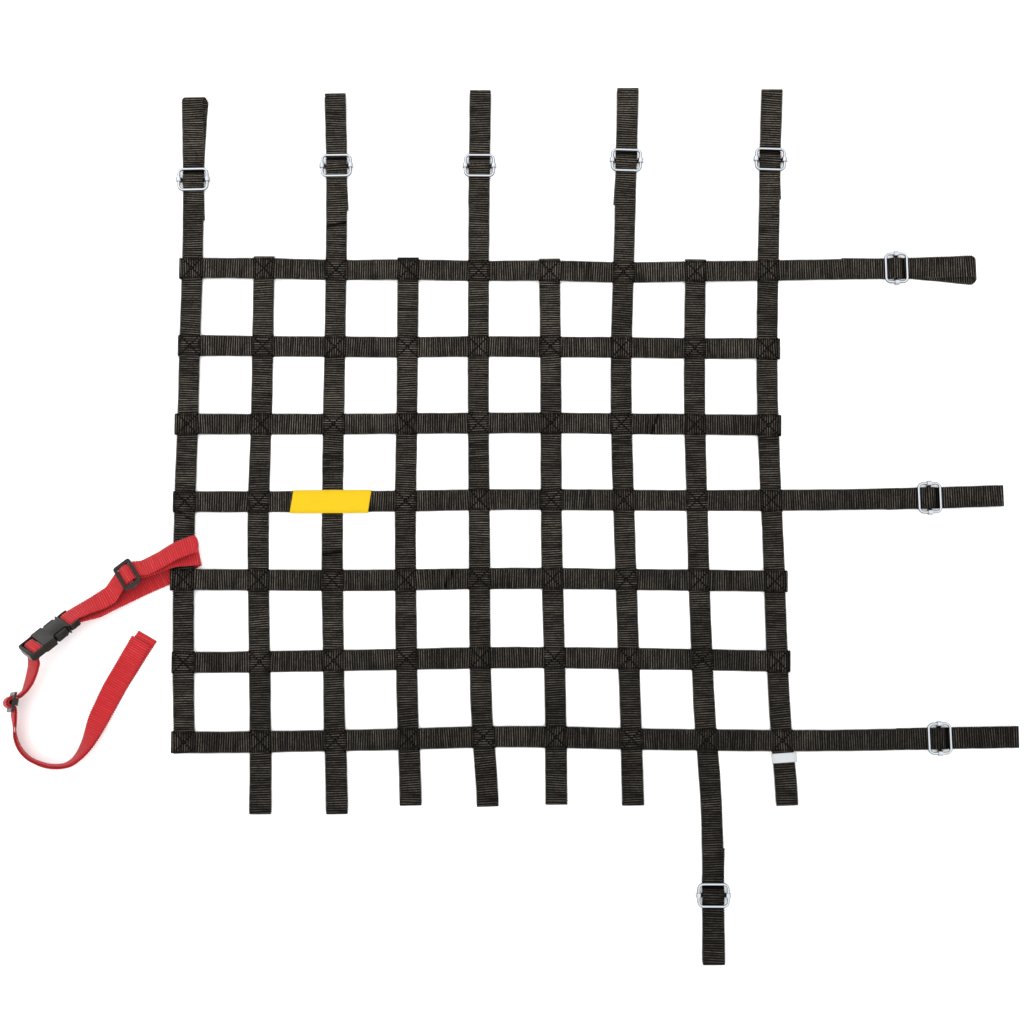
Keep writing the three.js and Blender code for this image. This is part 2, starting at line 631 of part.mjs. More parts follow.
// Both straps where they go round a moulded bar: place along the moulding, height off its middle.
const SLIDER_SEWN = [
  [2, 2.1], [-1.6, 2.1], [-2.5, 1.4], [-2.7, 0], [-2.5, -1.4], [-1.6, -2.1], [2, -2.1], [5.5, -1.7],
  [10, -1.3],
];
const SLIDER_THROUGH = [
  [-10.5, 1.1], [-6.4, 1.3], [-2.6, 3.9], [2.4, 3.95], [6.4, 1.3], [10.5, 1.1],
];
const PLUG_WRAP = [
  [31, -2.6], [25.2, -2.6], [22.8, -2.6], [21.9, -2.2], [21.5, -1], [21.5, 1], [21.9, 2.2],
  [22.8, 2.6], [25.6, 2.6], [32, 2.6],
];
const SOCKET_WRAP = [
  [-27.04, -5.57], [-26.1, -2.6], [-25.6, 0.6], [-25.5, 1.6], [-25, 2.4], [-24, 2.65],
  [-18.6, 2.65], [-17.5, 2.4], [-17, 1.5], [-17, -1.7], [-17.6, -3.2], [-19.4, -4.4],
  [-22.6, -5.2], [-25.36, -6.83],
];
const SLIDER_BULGE = [
  [-13.6, -7.4], [-11, -5.6], [-8.4, -3.8], [-6.3, -1.7], [-5.1, 0.6], [-4.6, 2.8], [-4.4, 5],
  [-3.4, 7.2], [-1.2, 9], [1.4, 9.5], [3.7, 8.4], [4.8, 6.3], [4.9, 4], [4.7, 2.2], [5, 1.1],
  [5.8, 0.3], [7.2, -0.2], [9.4, -0.9],
];
const RED_STRIPS = 3;

const wrap = (frame, pairs) => pairs.map(([at, up]) => inFrame(frame, at, up));

function upperStrap() {
  return [
    ...wrap(UPPER_SLIDER_AT, SLIDER_SEWN),
    ...smooth(rowStations(NET_RUN), 2),
    ...wrap(BUCKLE_AT, PLUG_WRAP),
    ...smooth(rowStations(PLUG_RUN), 2),
    ...wrap(UPPER_SLIDER_AT, SLIDER_THROUGH),
    ...smooth(rowStations(FREE_END), 2),
  ];
}

const upperWebbing = bentStrap(upperStrap(), WEB_WIDTH, WEB_THICK, RED_STRIPS);
addPiece("red_upper_strap", upperWebbing, "red_webbing");

// Red lower strap, both layers together from the buckle socket to the free ends.
const SOCKET_RUN = [
  { x: -467.4, y: -171.4, z: 25.8, edge: -27, lift: 41 },
  { x: -470.1, y: -182, z: 20.6, edge: -40, lift: 46 },
  { x: -474.2, y: -193, z: 16.4, edge: -33, lift: 55 },
];
const FREE_RUN = [
  { x: -489.8, y: -232.5, z: 15.4, edge: -16, lift: 64 },
  { x: -489.6, y: -241, z: 13.2, edge: -4, lift: 71 },
  { x: -489, y: -251.6, z: 12.3, edge: 9, lift: 76 },
  { x: -484.3, y: -263.6, z: 12.3, edge: 28, lift: 79 },
  { x: -475.4, y: -273.6, z: 12.3, edge: 47, lift: 82 },
  { x: -464, y: -279.6, z: 12.3, edge: 63, lift: 86 },
  { x: -451.5, y: -283, z: 12.3, edge: 82, lift: 90 },
  { x: -438.8, y: -282.8, z: 12.2, edge: 101, lift: 95 },
  { x: -428.4, y: -278.8, z: 12.3, edge: 123, lift: 106 },
  { x: -419.7, y: -269.8, z: 11.8, edge: 139, lift: 119 },
  { x: -413.3, y: -259.5, z: 10.5, edge: 149, lift: 132 },
  { x: -408.7, y: -248.9, z: 8.3, edge: 156, lift: 146 },
  { x: -403.7, y: -235, z: 5.4, edge: 156, lift: 164 },
  { x: -396.7, y: -219, z: 3, edge: 155, lift: 176 },
  { x: -389.7, y: -204, z: 2.1, edge: 153, lift: 180 },
  { x: -371.6, y: -171.5, z: 2, edge: 150, lift: 180 },
  { x: -360, y: -150.8, z: 2, edge: 150, lift: 180 },
];
const PAIR = 1.05;
const END_LONGER = 7.5;
const END_SHIFT = 3;
const END_ROWS = 10;

function lowerStrap() {
  const first = smooth(rowStations(SOCKET_RUN), 2);
  const bulge = wrap(LOWER_SLIDER_AT, SLIDER_BULGE).map((s) => ({ p: s.p, a: s.a.negate() }));
  const rest = smooth(rowStations(FREE_RUN), 2);
  const run = [...first, ...bulge, ...rest];
  const drift = (i, count) => END_SHIFT * Math.max(0, 1 + (i - count) / END_ROWS) ** 2;
  const below = layer(run, PAIR, drift);
  const above = layer(run, -PAIR);
  const end = below[below.length - 1];
  const way = end.p.clone().sub(below[below.length - 2].p).normalize();
  below.push({ p: end.p.clone().addScaledVector(way, END_LONGER), a: end.a });
  return [...below.reverse(), ...wrap(BUCKLE_AT, SOCKET_WRAP), ...above];
}

const lowerWebbing = bentStrap(lowerStrap(), WEB_WIDTH, WEB_THICK, RED_STRIPS);
addPiece("red_lower_strap", lowerWebbing, "red_webbing");

export default net;
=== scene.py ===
# %% [markdown]
# # Racing window net
# A window net is black ribbed webbing sewn into a grid, with loops to hang it in a car's window.
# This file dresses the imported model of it. It goes in the order a maker would: the straps are woven
# and sewn first, then the metal slides are threaded on, then the red release strap with its buckle,
# and the labels last. Every measure is in millimetres until a mesh is made, when it becomes metres.

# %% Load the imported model
import math

import bmesh
import bpy
import numpy as np
from mathutils import Matrix, Vector


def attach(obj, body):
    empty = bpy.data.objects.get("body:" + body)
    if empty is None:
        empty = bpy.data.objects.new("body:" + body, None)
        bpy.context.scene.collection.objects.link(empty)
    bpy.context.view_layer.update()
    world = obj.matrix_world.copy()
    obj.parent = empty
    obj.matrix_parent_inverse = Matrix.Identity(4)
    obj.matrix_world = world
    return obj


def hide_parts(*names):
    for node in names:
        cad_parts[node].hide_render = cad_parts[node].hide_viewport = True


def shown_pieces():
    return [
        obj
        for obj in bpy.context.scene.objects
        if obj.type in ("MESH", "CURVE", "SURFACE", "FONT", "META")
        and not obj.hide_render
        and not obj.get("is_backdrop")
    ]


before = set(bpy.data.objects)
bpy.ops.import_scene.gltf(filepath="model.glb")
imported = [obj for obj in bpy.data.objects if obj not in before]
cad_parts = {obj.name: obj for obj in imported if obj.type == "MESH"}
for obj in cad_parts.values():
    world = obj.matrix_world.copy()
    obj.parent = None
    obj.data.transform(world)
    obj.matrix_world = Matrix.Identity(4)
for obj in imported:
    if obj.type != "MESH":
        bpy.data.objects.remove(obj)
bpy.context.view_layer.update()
MM = 0.001
print("packed pieces:", len(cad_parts))

# %% [markdown]
# ## Camera, floor and light
# The net was photographed flat on a white sweep from almost straight above, so the camera looks
# down with a tilt of five degrees. A white floor under a bright, even sky gives the clean white
# ground. The sky is dark near the horizon, so that round wire shows dark flanks, as in a light tent.
# One large, weak lamp at the upper left gives the faint shadows beside the loops.

# %% Camera
CAMERA_AT = (35.48, -165.48, 1743.34)
CAMERA_TILT = 5
CAMERA_LENS = 57.18
SENSOR = 36

camera_data = bpy.data.cameras.new("net_camera")
camera_data.lens = CAMERA_LENS
camera_data.sensor_width = SENSOR
camera_data.clip_end = 20
camera = bpy.data.objects.new("net_camera", camera_data)
camera.location = Vector(CAMERA_AT) * MM
camera.rotation_euler = (math.radians(CAMERA_TILT), 0, 0)
bpy.context.scene.collection.objects.link(camera)
bpy.context.scene.camera = camera
bpy.context.scene.view_settings.view_transform = "Standard"
print("camera height in metres:", round(camera.location.z, 3))

# %% Small helpers: a colour from its sRGB hex, a node with its settings and links, a material


def colour(hex_code):
    """sRGB hex to the linear colour that Blender's sockets take."""
    parts = [int(hex_code[k:k + 2], 16) / 255 for k in (1, 3, 5)]
    linear = [c / 12.92 if c <= 0.04045 else ((c + 0.055) / 1.055) ** 2.4 for c in parts]
    return (*linear, 1)


def add(tree, kind, inputs=None, **settings):
    """Adds a node; inputs holds values, or the sockets that feed it."""
    node = tree.nodes.new("ShaderNode" + kind)
    for name, value in settings.items():
        setattr(node, name, value)
    for key, value in (inputs or {}).items():
        if isinstance(value, bpy.types.NodeSocket):
            tree.links.new(value, node.inputs[key])
        else:
            node.inputs[key].default_value = value
    return node


def new_material(name):
    """An empty node material and its tree."""
    material = bpy.data.materials.new(name)
    material.use_nodes = True
    material.node_tree.nodes.clear()
    return material, material.node_tree


def finish_material(tree, shader):
    """Feeds the shader to the surface."""
    add(tree, "OutputMaterial", {"Surface": shader.outputs[0]})


print("a mid grey, linear:", round(colour("#808080")[0], 3))

# %% Floor and light
FLOOR_SIZE = 14
LAMP_AT = (-1.5, 1.3, 2.4)
LAMP_SIZE = 2.6
LAMP_POWER = 16
SKY_LOW = 0.25
SKY_HIGH = 1.85
SKY_DARK_BELOW = 0.1
SKY_BRIGHT_ABOVE = 0.45

floor_mesh = bpy.data.meshes.new("floor")
shape = bmesh.new()
bmesh.ops.create_grid(shape, x_segments=2, y_segments=2, size=FLOOR_SIZE / 2)
shape.to_mesh(floor_mesh)
shape.free()
floor = bpy.data.objects.new("floor", floor_mesh)
bpy.context.scene.collection.objects.link(floor)
paper, tree = new_material("white_paper_sweep")
grain = add(tree, "TexNoise", {"Vector": add(tree, "TexCoord").outputs["Object"], "Scale": 3})
shade = add(
    tree, "Mix", {"Factor": grain.outputs["Fac"], "A": colour("#fafafa"), "B": colour("#fdfdfd")},
    data_type="RGBA",
)
finish_material(tree, add(
    tree, "BsdfPrincipled",
    {"Base Color": shade.outputs["Result"], "Roughness": 0.9, "Specular IOR Level": 0.1},
))
floor_mesh.materials.append(paper)
floor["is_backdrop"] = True

lamp_data = bpy.data.lights.new("window_lamp", "AREA")
lamp_data.energy = LAMP_POWER
lamp_data.size = LAMP_SIZE
lamp = bpy.data.objects.new("window_lamp", lamp_data)
lamp.location = LAMP_AT
lamp.rotation_euler = (-Vector(LAMP_AT)).to_track_quat("-Z", "Y").to_euler()
bpy.context.scene.collection.objects.link(lamp)

world = bpy.data.worlds.new("studio")
world.use_nodes = True
sky = world.node_tree
sky.nodes.clear()
direction = add(sky, "SeparateXYZ", {0: add(sky, "TexCoord").outputs["Generated"]})
height = add(
    sky, "MapRange",
    {
        "Value": direction.outputs["Z"], "From Min": SKY_DARK_BELOW, "From Max": SKY_BRIGHT_ABOVE,
        "To Min": SKY_LOW, "To Max": SKY_HIGH,
    },
)
background = add(sky, "Background", {"Color": (1, 1, 1, 1), "Strength": height.outputs[0]})
add(sky, "OutputWorld", {"Surface": background.outputs[0]})
bpy.context.scene.world = world
print("floor and one lamp are in place")

# %% [markdown]
# ## Where the straps run
# The grid isn't square: every strap wanders by a few millimetres, as sewn straps do. Each strap is
# known by its place at a few heights, and a smooth line joins them. The crossings follow from two
# such lines, so nothing is placed twice. The weave says which strap lies on top at each crossing.

# %% Straps and their lines
WEB_WIDTH = 24
WEB_THICK = 1.5
GAP = 0.3
STEP = WEB_THICK + GAP
LOW = WEB_THICK / 2
CROSS_FLAT = 14
FOLD_STEPS = 12
FOLD_BACK = 11
CUT_END = 11.5
TOP_FOLD = 14.5
RIGHT_FOLD = 14.4

COLUMN_HEIGHTS = [450, 300, 125, -40, -210, -330, -490]
COLUMNS = {
    1: dict(x=[-315, -312.5, -314, -316, -313.8, -310, -310], top="loop", foot="cut"),
    2: dict(x=[-234.5, -234.5, -235, -237, -232.6, -230.5, -230.5], top="fold", foot="loop", end=-334),
    3: dict(x=[-158, -156, -157, -157.5, -154, -149.5, -149], top="loop", foot="loop", end=-334),
    4: dict(x=[-77.5, -77.5, -78, -79, -76, -71.5, -71], top="fold", foot="loop", end=-325),
    5: dict(x=[0.5, -0.6, -1, 0.5, 2.5, 10, 10], top="loop", foot="loop", end=-326),
    6: dict(x=[76, 76, 77.5, 78, 81.5, 82.5, 82.5], top="fold", foot="loop", end=-324),
    7: dict(x=[163, 158.5, 153.5, 156.5, 161, 163.5, 164], top="loop", foot="loop", end=-325),
    8: dict(x=[236, 236, 233, 235, 239.5, 246.5, 247.2], top="fold", foot="adjust"),
    9: dict(x=[320.5, 316, 311.5, 315.5, 319.5, 326.5, 327], top="loop", foot="loop", end=-325),
}
ROW_PLACES = [-272, -116, 38, 193, 377, 570]
ROWS = {
    1: dict(y=[253, 251.5, 250.5, 249, 251.8, 255], left=14.5, right="loop"),
    2: dict(y=[168, 166.5, 167, 165.5, 164, 164], left=14, right="fold"),
    3: dict(y=[82, 82.5, 83.5, 82.3, 80, 80], left=14.5, right="fold"),
    4: dict(y=[-2, -1.5, 0.3, -0.5, 0, 4], left=14, right="loop"),
    5: dict(y=[-86, -86.5, -84.5, -86, -88, -88], left=14.8, right="fold"),
    6: dict(y=[-174, -171.5, -169, -170.5, -173.5, -174], left=13.5, right="fold"),
    7: dict(y=[-258.5, -256, -252.5, -255.5, -256.5, -252.5], left=14.4, right="loop"),
}


def along(places, values, at):
    """Smooth value between the known places, which may run up or down."""
    last = len(places) - 1
    way = 1 if places[last] > places[0] else -1
    i = 0
    while i < last - 1 and (at - places[i + 1]) * way > 0:
        i += 1

    def slope(k):
        before, after = max(k - 1, 0), min(k + 1, last)
        return (values[after] - values[before]) / (places[after] - places[before])

    span = places[i + 1] - places[i]
    t = min(max((at - places[i]) / span, 0), 1)
    start = (2 * t ** 3 - 3 * t ** 2 + 1) * values[i] + (t ** 3 - 2 * t ** 2 + t) * span * slope(i)
    return start + (3 * t ** 2 - 2 * t ** 3) * values[i + 1] + (t ** 3 - t ** 2) * span * slope(i + 1)


def column_line(c):
    """A function from height to the place on the column's middle line."""
    return lambda y: np.array([along(COLUMN_HEIGHTS, COLUMNS[c]["x"], y), y, 0])


def row_line(r):
    """A function from x to the place on the row's middle line."""
    return lambda x: np.array([x, along(ROW_PLACES, ROWS[r]["y"], x), 0])


def crossing(r, c):
    """Where two middle lines meet, found in a few rounds."""
    place = column_line(c)(0)
    for _ in range(4):
        place = column_line(c)(row_line(r)(place[0])[1])
    return place[0], row_line(r)(place[0])[1]


CROSSINGS = {(r, c): crossing(r, c) for r in ROWS for c in COLUMNS}
print("crossings:", len(CROSSINGS))

# %% The weave: which strap is on top, and how many layers lie below the pair


def row_on_top(r, c):
    """Over and under in turn, but the last column always passes below."""
    return c == 9 or (r + max(c, 2)) % 2 == 1


def layers_below(r, c):
    """Folded ends lie below the crossing, and the red strap too on column 1."""
    if c == 1:
        return 2 if r == 5 else 1
    if r == 7 and c != 8:
        return 1
    if r == 1 and COLUMNS[c]["top"] == "fold":
        return 1
    return 1 if c == 9 and ROWS[r]["right"] == "fold" else 0


def level_z(level):
    """Height of the middle of a layer."""
    return LOW + level * STEP


def row_level(r, c):
    """The row's layer at that crossing."""
    return layers_below(r, c) + (1 if row_on_top(r, c) else 0)


def column_level(r, c):
    """The column's layer at that crossing."""
    return layers_below(r, c) + (0 if row_on_top(r, c) else 1)


print("row 1 layers:", [row_level(1, c) for c in COLUMNS])

# %% [markdown]
# ## A strap's path, seen from its side
# A strap climbs over one neighbour and dives under the next, folds round the last one, or runs on
# into a loop with a slide. Drawn from the side, each of these is a short list of points: place along
# the strap, height, and how far the layer strays to the left. The folds are half circles.

# %% Folds and adjuster loops
LOOP_RISE = 8
FOOT_RISE = 6.6
SLIDE_FLAT = 14.5
SLIDE_NEAR = 6.5
SLIDE_TOP = 2.6
SLIDE_LIFT = 2.5
TAIL_STEP = 2
LOOPS = {
    "column_1": dict(slide=351.5, end=443.5, tail=45, stray=-1, back=-5),
    "column_3": dict(slide=367, end=448, tail=49, stray=-1.6, back=1.2),
    "column_5": dict(slide=367, end=451.5, tail=45, stray=0.4, back=-0.6),
    "column_7": dict(slide=373, end=454, tail=49, stray=1.6, back=0.8),
    "column_9": dict(slide=374, end=452.5, tail=44, stray=-1.6, back=-0.8),
    "column_8": dict(slide=-418, end=-490, tail=48, stray=-1.6, back=0.6),
    "row_1": dict(slide=453.5, end=540, tail=58, stray=1.5, back=-8),
    "row_4": dict(slide=484, end=563.5, tail=45, stray=-0.4, back=0.6),
    "row_7": dict(slide=489, end=573, tail=45, stray=0.5, back=-0.6),
}


def loop_line(name):
    """The middle line that an adjuster loop goes on with, and whether it is a row's."""
    kind, number = name.split("_")
    return (row_line if kind == "row" else column_line)(int(number)), kind == "row"


def fold(end, way, start, stop, stray=0):
    """Half circle from one height to the other, reaching as far as end."""
    radius = abs(stop - start) / 2
    middle = end - way * (radius + LOW)
    path = []
    for i in range(FOLD_STEPS + 1):
        turn = math.pi * i / FOLD_STEPS
        z = (start + stop) / 2 - (stop - start) / 2 * math.cos(turn)
        path.append((middle + way * radius * math.sin(turn), z, stray * i / FOLD_STEPS))
    return path


def through_slide(loop, way, level, stray):
    """One layer of an adjuster loop lifted over the slide's bar."""
    z = level_z(level)
    rise = [(-SLIDE_FLAT, 0), (-SLIDE_NEAR, 0), (-SLIDE_TOP, 1)]
    marks = rise + [(-mark, up) for mark, up in reversed(rise)]
    return [(loop["slide"] + way * mark, z + SLIDE_LIFT * up, stray) for mark, up in marks]


def adjuster_loop(loop, way):
    """Out through the slide, round the end, and back below to the sewn tail."""
    tail_end = loop["slide"] - way * loop["tail"]
    return [
        (tail_end - way * TAIL_STEP, level_z(1), 0),
        *through_slide(loop, way, 1, 0),
        *fold(loop["end"], way, LOW + LOOP_RISE, LOW, loop["back"]),
        *through_slide(loop, way, 0, 0)[::-1],
        (tail_end, LOW, loop["stray"]),
    ]


def column_path(c):
    """Side view of a column strap, from its foot to its top."""
    column, path = COLUMNS[c], []
    if column["foot"] == "loop":
        sewn = CROSSINGS[7, c][1]
        path += [(sewn + FOLD_BACK, LOW, 0), (sewn - CROSS_FLAT, LOW, 0)]
        path += fold(column["end"], -1, LOW, LOW + FOOT_RISE)
    if column["foot"] == "adjust":
        path += adjuster_loop(LOOPS[f"column_{c}"], -1)[::-1]
    for r in range(7, 0, -1):
        y, z = CROSSINGS[r, c][1], level_z(column_level(r, c))
        path.append((y - (CUT_END if r == 7 and column["foot"] == "cut" else CROSS_FLAT), z, 0))
        if r > 1 or column["top"] == "loop":
            path.append((y + CROSS_FLAT, z, 0))
        else:
            path += [*fold(y + TOP_FOLD, 1, z, LOW), (y - FOLD_BACK, LOW, 0)]
    return path + (adjuster_loop(LOOPS[f"column_{c}"], 1) if column["top"] == "loop" else [])


def row_path(r):
    """Side view of a row strap, from its left fold to its right end."""
    row, path = ROWS[r], []
    for c in COLUMNS:
        x, z = CROSSINGS[r, c][0], level_z(row_level(r, c))
        under = level_z(layers_below(r, c) - 1)
        if c == 1:
            path += [(x + FOLD_BACK, under, 0), *fold(x - row["left"], -1, under, z)]
        else:
            path.append((x - CROSS_FLAT, z, 0))
        if c < 9 or row["right"] == "loop":
            path.append((x + CROSS_FLAT, z, 0))
        else:
            path += [*fold(x + RIGHT_FOLD, 1, z, under), (x - FOLD_BACK, under, 0)]
    return path + (adjuster_loop(LOOPS[f"row_{r}"], 1) if row["right"] == "loop" else [])


print("points on row 1:", len(row_path(1)))

# %% From the side view to stations in space
NUDGE = 0.5
LINE_STEP = 6


def finer(path):
    """Adds points between far ones, so that the strap follows its curved line."""
    result = []
    for here, after in zip(path, path[1:]):
        parts = max(1, math.ceil(abs(after[0] - here[0]) / LINE_STEP))
        for k in range(parts):
            result.append(tuple(a + (b - a) * k / parts for a, b in zip(here, after)))
    return result + [path[-1]]


def on_line(path, line):
    """Stations of a flat strap: points on its middle, and the way to its left edge."""
    points, edges = [], []
    for at, z, stray in finer(path):
        heading = line(at + NUDGE) - line(at - NUDGE)
        left = np.array([-heading[1], heading[0], 0]) / np.linalg.norm(heading)
        points.append(line(at) + left * stray + np.array([0, 0, z]))
        edges.append(left)
    return np.array(points), np.array(edges)


print("stations on column 1:", len(on_line(column_path(1), column_line(1))[0]))

# %% [markdown]
# ## Ribbed webbing
# This webbing is woven with thick weft cords, so ribs run straight across it every 2.5 mm and its
# edges are scalloped by them. The ribs catch the light, so they are real here and not only bump: a
# long grid has four rings of faces for each rib, and it is rolled up round the strap's middle line.
# The open seam is merged, the two ends are closed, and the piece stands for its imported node.

# %% Roll a grid round a line
RIB = 2.5
RING_STEP = RIB / 4
# The sections run once round the strap, as shares of its half width and half thickness.
WEB_SECTION = [(-0.94, 1), (0, 1), (0.94, 1), (1, 0), (0.94, -1), (0, -1), (-0.94, -1), (-1, 0)]
FINE_SECTION = [
    (-0.94, 1), (-0.5, 1), (0, 1), (0.5, 1), (0.94, 1), (1, 0),
    (0.94, -1), (0.5, -1), (0, -1), (-0.5, -1), (-0.94, -1), (-1, 0),
]
MERGE = 1e-6


def unit(rows):
    """Each row of an array at length one."""
    return rows / np.linalg.norm(rows, axis=1, keepdims=True)


def soften(rows, reach):
    """Evens out a line of points over a few of its steps, and keeps its ends."""
    if reach <= 0:
        return rows
    width = int(3 * reach) + 1
    weights = np.exp(-0.5 * (np.arange(-width, width + 1) / reach) ** 2)
    padded = np.pad(rows, ((width, width), (0, 0)), mode="reflect", reflect_type="odd")
    columns = [np.convolve(padded[:, k], weights / weights.sum(), "valid") for k in range(3)]
    return np.stack(columns, axis=1)


def even_rings(points, edges, step, reach):
    """Equal steps along the line: middles, edge directions and the length so far."""
    gaps = np.linalg.norm(np.diff(points, axis=0), axis=1)
    run = np.concatenate([[0], np.cumsum(gaps)])
    at = np.linspace(0, run[-1], round(run[-1] / step) + 1)
    middles = np.stack([np.interp(at, run, points[:, k]) for k in range(3)], axis=1)
    sides = np.stack([np.interp(at, run, edges[:, k]) for k in range(3)], axis=1)
    return soften(middles, reach), unit(soften(sides, reach)), at


def rolled(name, middles, sides, half_width, half_thick, section, ring=False):
    """A grid rolled round the line; ring joins its two ends, or else they are closed."""
    rounds, steps = len(section), len(middles)
    shape = bmesh.new()
    bmesh.ops.create_grid(shape, x_segments=rounds, y_segments=steps if ring else steps - 1, size=0.5)
    mesh = bpy.data.meshes.new(name)
    shape.to_mesh(mesh)
    flat = np.empty(len(mesh.vertices) * 3)
    mesh.vertices.foreach_get("co", flat)
    flat = flat.reshape(-1, 3)
    i = np.rint((flat[:, 0] + 0.5) * rounds).astype(int) % rounds
    j = np.rint((flat[:, 1] + 0.5) * (steps if ring else steps - 1)).astype(int) % steps
    way = np.roll(middles, -1, 0) - np.roll(middles, 1, 0) if ring else np.gradient(middles, axis=0)
    faces = unit(np.cross(way, sides))
    across = np.array([s[0] for s in section])[i] * half_width[j]
    up = np.array([s[1] for s in section])[i] * half_thick[j]
    place = middles[j] + sides[j] * across[:, None] + faces[j] * up[:, None]
    mesh.vertices.foreach_set("co", (place * MM).ravel())
    shape.free()
    return mesh, across, j


def mark(mesh, label, values):
    """Keeps three numbers with every vertex, under a label that the finish reads."""
    layer = mesh.attributes.new(label, "FLOAT_VECTOR", "POINT")
    layer.data.foreach_set("vector", np.ascontiguousarray(values, dtype=np.float32).ravel())


def close_up(mesh):
    """Merges the seam, closes open ends and turns every face outward."""
    shape = bmesh.new()
    shape.from_mesh(mesh)
    bmesh.ops.remove_doubles(shape, verts=shape.verts, dist=MERGE)
    for face in shape.faces:
        face.smooth = True
    open_edges = [edge for edge in shape.edges if edge.is_boundary]
    if open_edges:
        for face in bmesh.ops.holes_fill(shape, edges=open_edges, sides=0)["faces"]:
            face.smooth = False
    bmesh.ops.recalc_face_normals(shape, faces=shape.faces)
    shape.to_mesh(mesh)
    shape.free()


def place_piece(name, mesh, material, node):
    """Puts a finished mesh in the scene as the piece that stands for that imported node."""
    mesh.materials.clear()
    mesh.materials.append(material)
    piece = bpy.data.objects.new(name, mesh)
    bpy.context.scene.collection.objects.link(piece)
    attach(piece, "root")
    if node:
        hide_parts(node)
    return piece


print("rings for each metre of webbing:", round(1000 / RING_STEP))

# %% [markdown]
# ## Wear: swings, creases and sewn crossings
# Worn webbing is never quite even: its ribs lean a little one way and the other, and its edges
# wander. It has also kept a few creases from being folded, each a line across one strap, and it
# dips on both sides of a slide's bar. Every vertex is told how far it is from the nearest of these
# lines and from the nearest sewn crossing, in millimetres, so that the finish can paint shade along them
# finely.

# %% How far a place is from a crease or a crossing
FAR_OFF = 99.0
SEWN_REACH = 13
CREASES = [  # strap, x, y, bearing of the line in degrees
    ("webbing_column_1", -315.5, -17, -32),
    ("webbing_column_3", -159.7, 300.8, 12),
    ("webbing_column_3", -154.1, -57, 9),
    ("webbing_column_4", -70.5, -64.9, 38),
    ("webbing_row_5", -112, -80, -55),
    ("webbing_row_5", -33, -87, 62),
    ("webbing_row_3", 190, 83, 72),
]
CREASE_REACH = 3.7
SLIDE_DIP = 7.8
for name, loop in LOOPS.items():
    line, is_row = loop_line(name)
    for dip in (-SLIDE_DIP, SLIDE_DIP):
        x, y, _ = line(loop["slide"] + dip)
        CREASES.append((f"webbing_{name}", x, y, 90 if is_row else 0))


def from_crease(name, place):
    """Signed distance to the strap's crease lines, or far off where none is near."""
    result = np.full(len(place), FAR_OFF)
    for strap, x, y, bearing in CREASES:
        if strap != name:
            continue
        turn = math.radians(bearing)
        away = (place[:, 1] - y) * math.cos(turn) - (place[:, 0] - x) * math.sin(turn)
        near = np.hypot(place[:, 0] - x, place[:, 1] - y) < WEB_WIDTH
        far_side = np.where(away < 0, -FAR_OFF, FAR_OFF)
        here = np.where(np.abs(away) < CREASE_REACH, away, far_side)
        result = np.where(near, here, result)
    return result


SWINGS = [(29, 2.3), (11.3, 5.1), (5.7, 1)]  # length in millimetres, share of the seed


def wander(at, seed):
    """A slow, uneven swing between about -1 and 1 along the strap."""
    return sum(np.sin(at / length + share * seed) for length, share in SWINGS) / 2


def from_crossing(place, is_row):
    """Across and along in millimetres from the nearest crossing, or far off where none is near."""
    centres = np.array(list(CROSSINGS.values()))
    gaps = place[:, None, :2] - centres[None]
    nearest = np.abs(gaps).max(axis=2).argmin(axis=1)
    near = gaps[np.arange(len(place)), nearest]
    local = np.stack([-near[:, 1], near[:, 0]], axis=1) if is_row else near
    local[np.abs(near).max(axis=1) > SEWN_REACH] = FAR_OFF
    return np.column_stack([local, np.zeros(len(place))])


print("creases:", len(CREASES))

# %% [markdown]
# ## One strap
# The steps above come together here: even rings, a lean for the ribs, a width and a thickness that
# go up and down with them, and the marks for the finish. The cut end of the red strap is bowed, as
# a hot knife leaves it, by moving its last rings back towards both edges.

# %% The ribbed strap
RIB_HEIGHT = 0.14
RIB_SCALLOP = 1.1
RIB_SKEW = 0.05
EDGE_WANDER = 0.3
END_BOW = 3.6
BOW_LONG = 12
BOW_POWER = 2.5
SURFACE_CLEAR = 0.01


def webbing_strap(name, points, edges, kind, reach, bow=0):
    """A closed ribbed strap, and its length in millimetres. kind is row, column or free."""
    middles, sides, at = even_rings(points, edges, RING_STEP, reach)
    seed = len(name) + ord(name[-1])
    way = unit(np.gradient(middles, axis=0))
    sides = unit(sides + way * RIB_SKEW * wander(at, seed)[:, None])
    rib = np.abs(np.sin(np.pi * at / RIB))
    half_width = WEB_WIDTH / 2 - RIB_SCALLOP * (1 - rib) - EDGE_WANDER * (1 + wander(at, seed + 1)) / 2
    half_thick = WEB_THICK / 2 - SURFACE_CLEAR - RIB_HEIGHT * (1 - rib)
    section = FINE_SECTION if kind == "free" else WEB_SECTION
    mesh, across, j = rolled(name, middles, sides, half_width, half_thick, section)
    place = middles[j] + sides[j] * across[:, None]
    if bow:
        near_end = np.clip(1 - (at[-1] - at[j]) / BOW_LONG, 0, 1)
        back = way[j] * (bow * near_end * np.abs(2 * across / WEB_WIDTH) ** BOW_POWER)[:, None]
        flat = np.empty(len(j) * 3)
        mesh.vertices.foreach_get("co", flat)
        mesh.vertices.foreach_set("co", flat - (back * MM).ravel())
    mark(mesh, "weave", np.column_stack([across, at[j], np.minimum(at, at[-1] - at)[j]]))
    sewn = from_crossing(place, kind == "row") if kind != "free" else np.full((len(j), 3), FAR_OFF)
    sewn[:, 2] = from_crease(name, place)
    mark(mesh, "sewn", sewn)
    close_up(mesh)
    return mesh, at[-1]


print("ribs for each metre of webbing:", round(1000 / RIB))
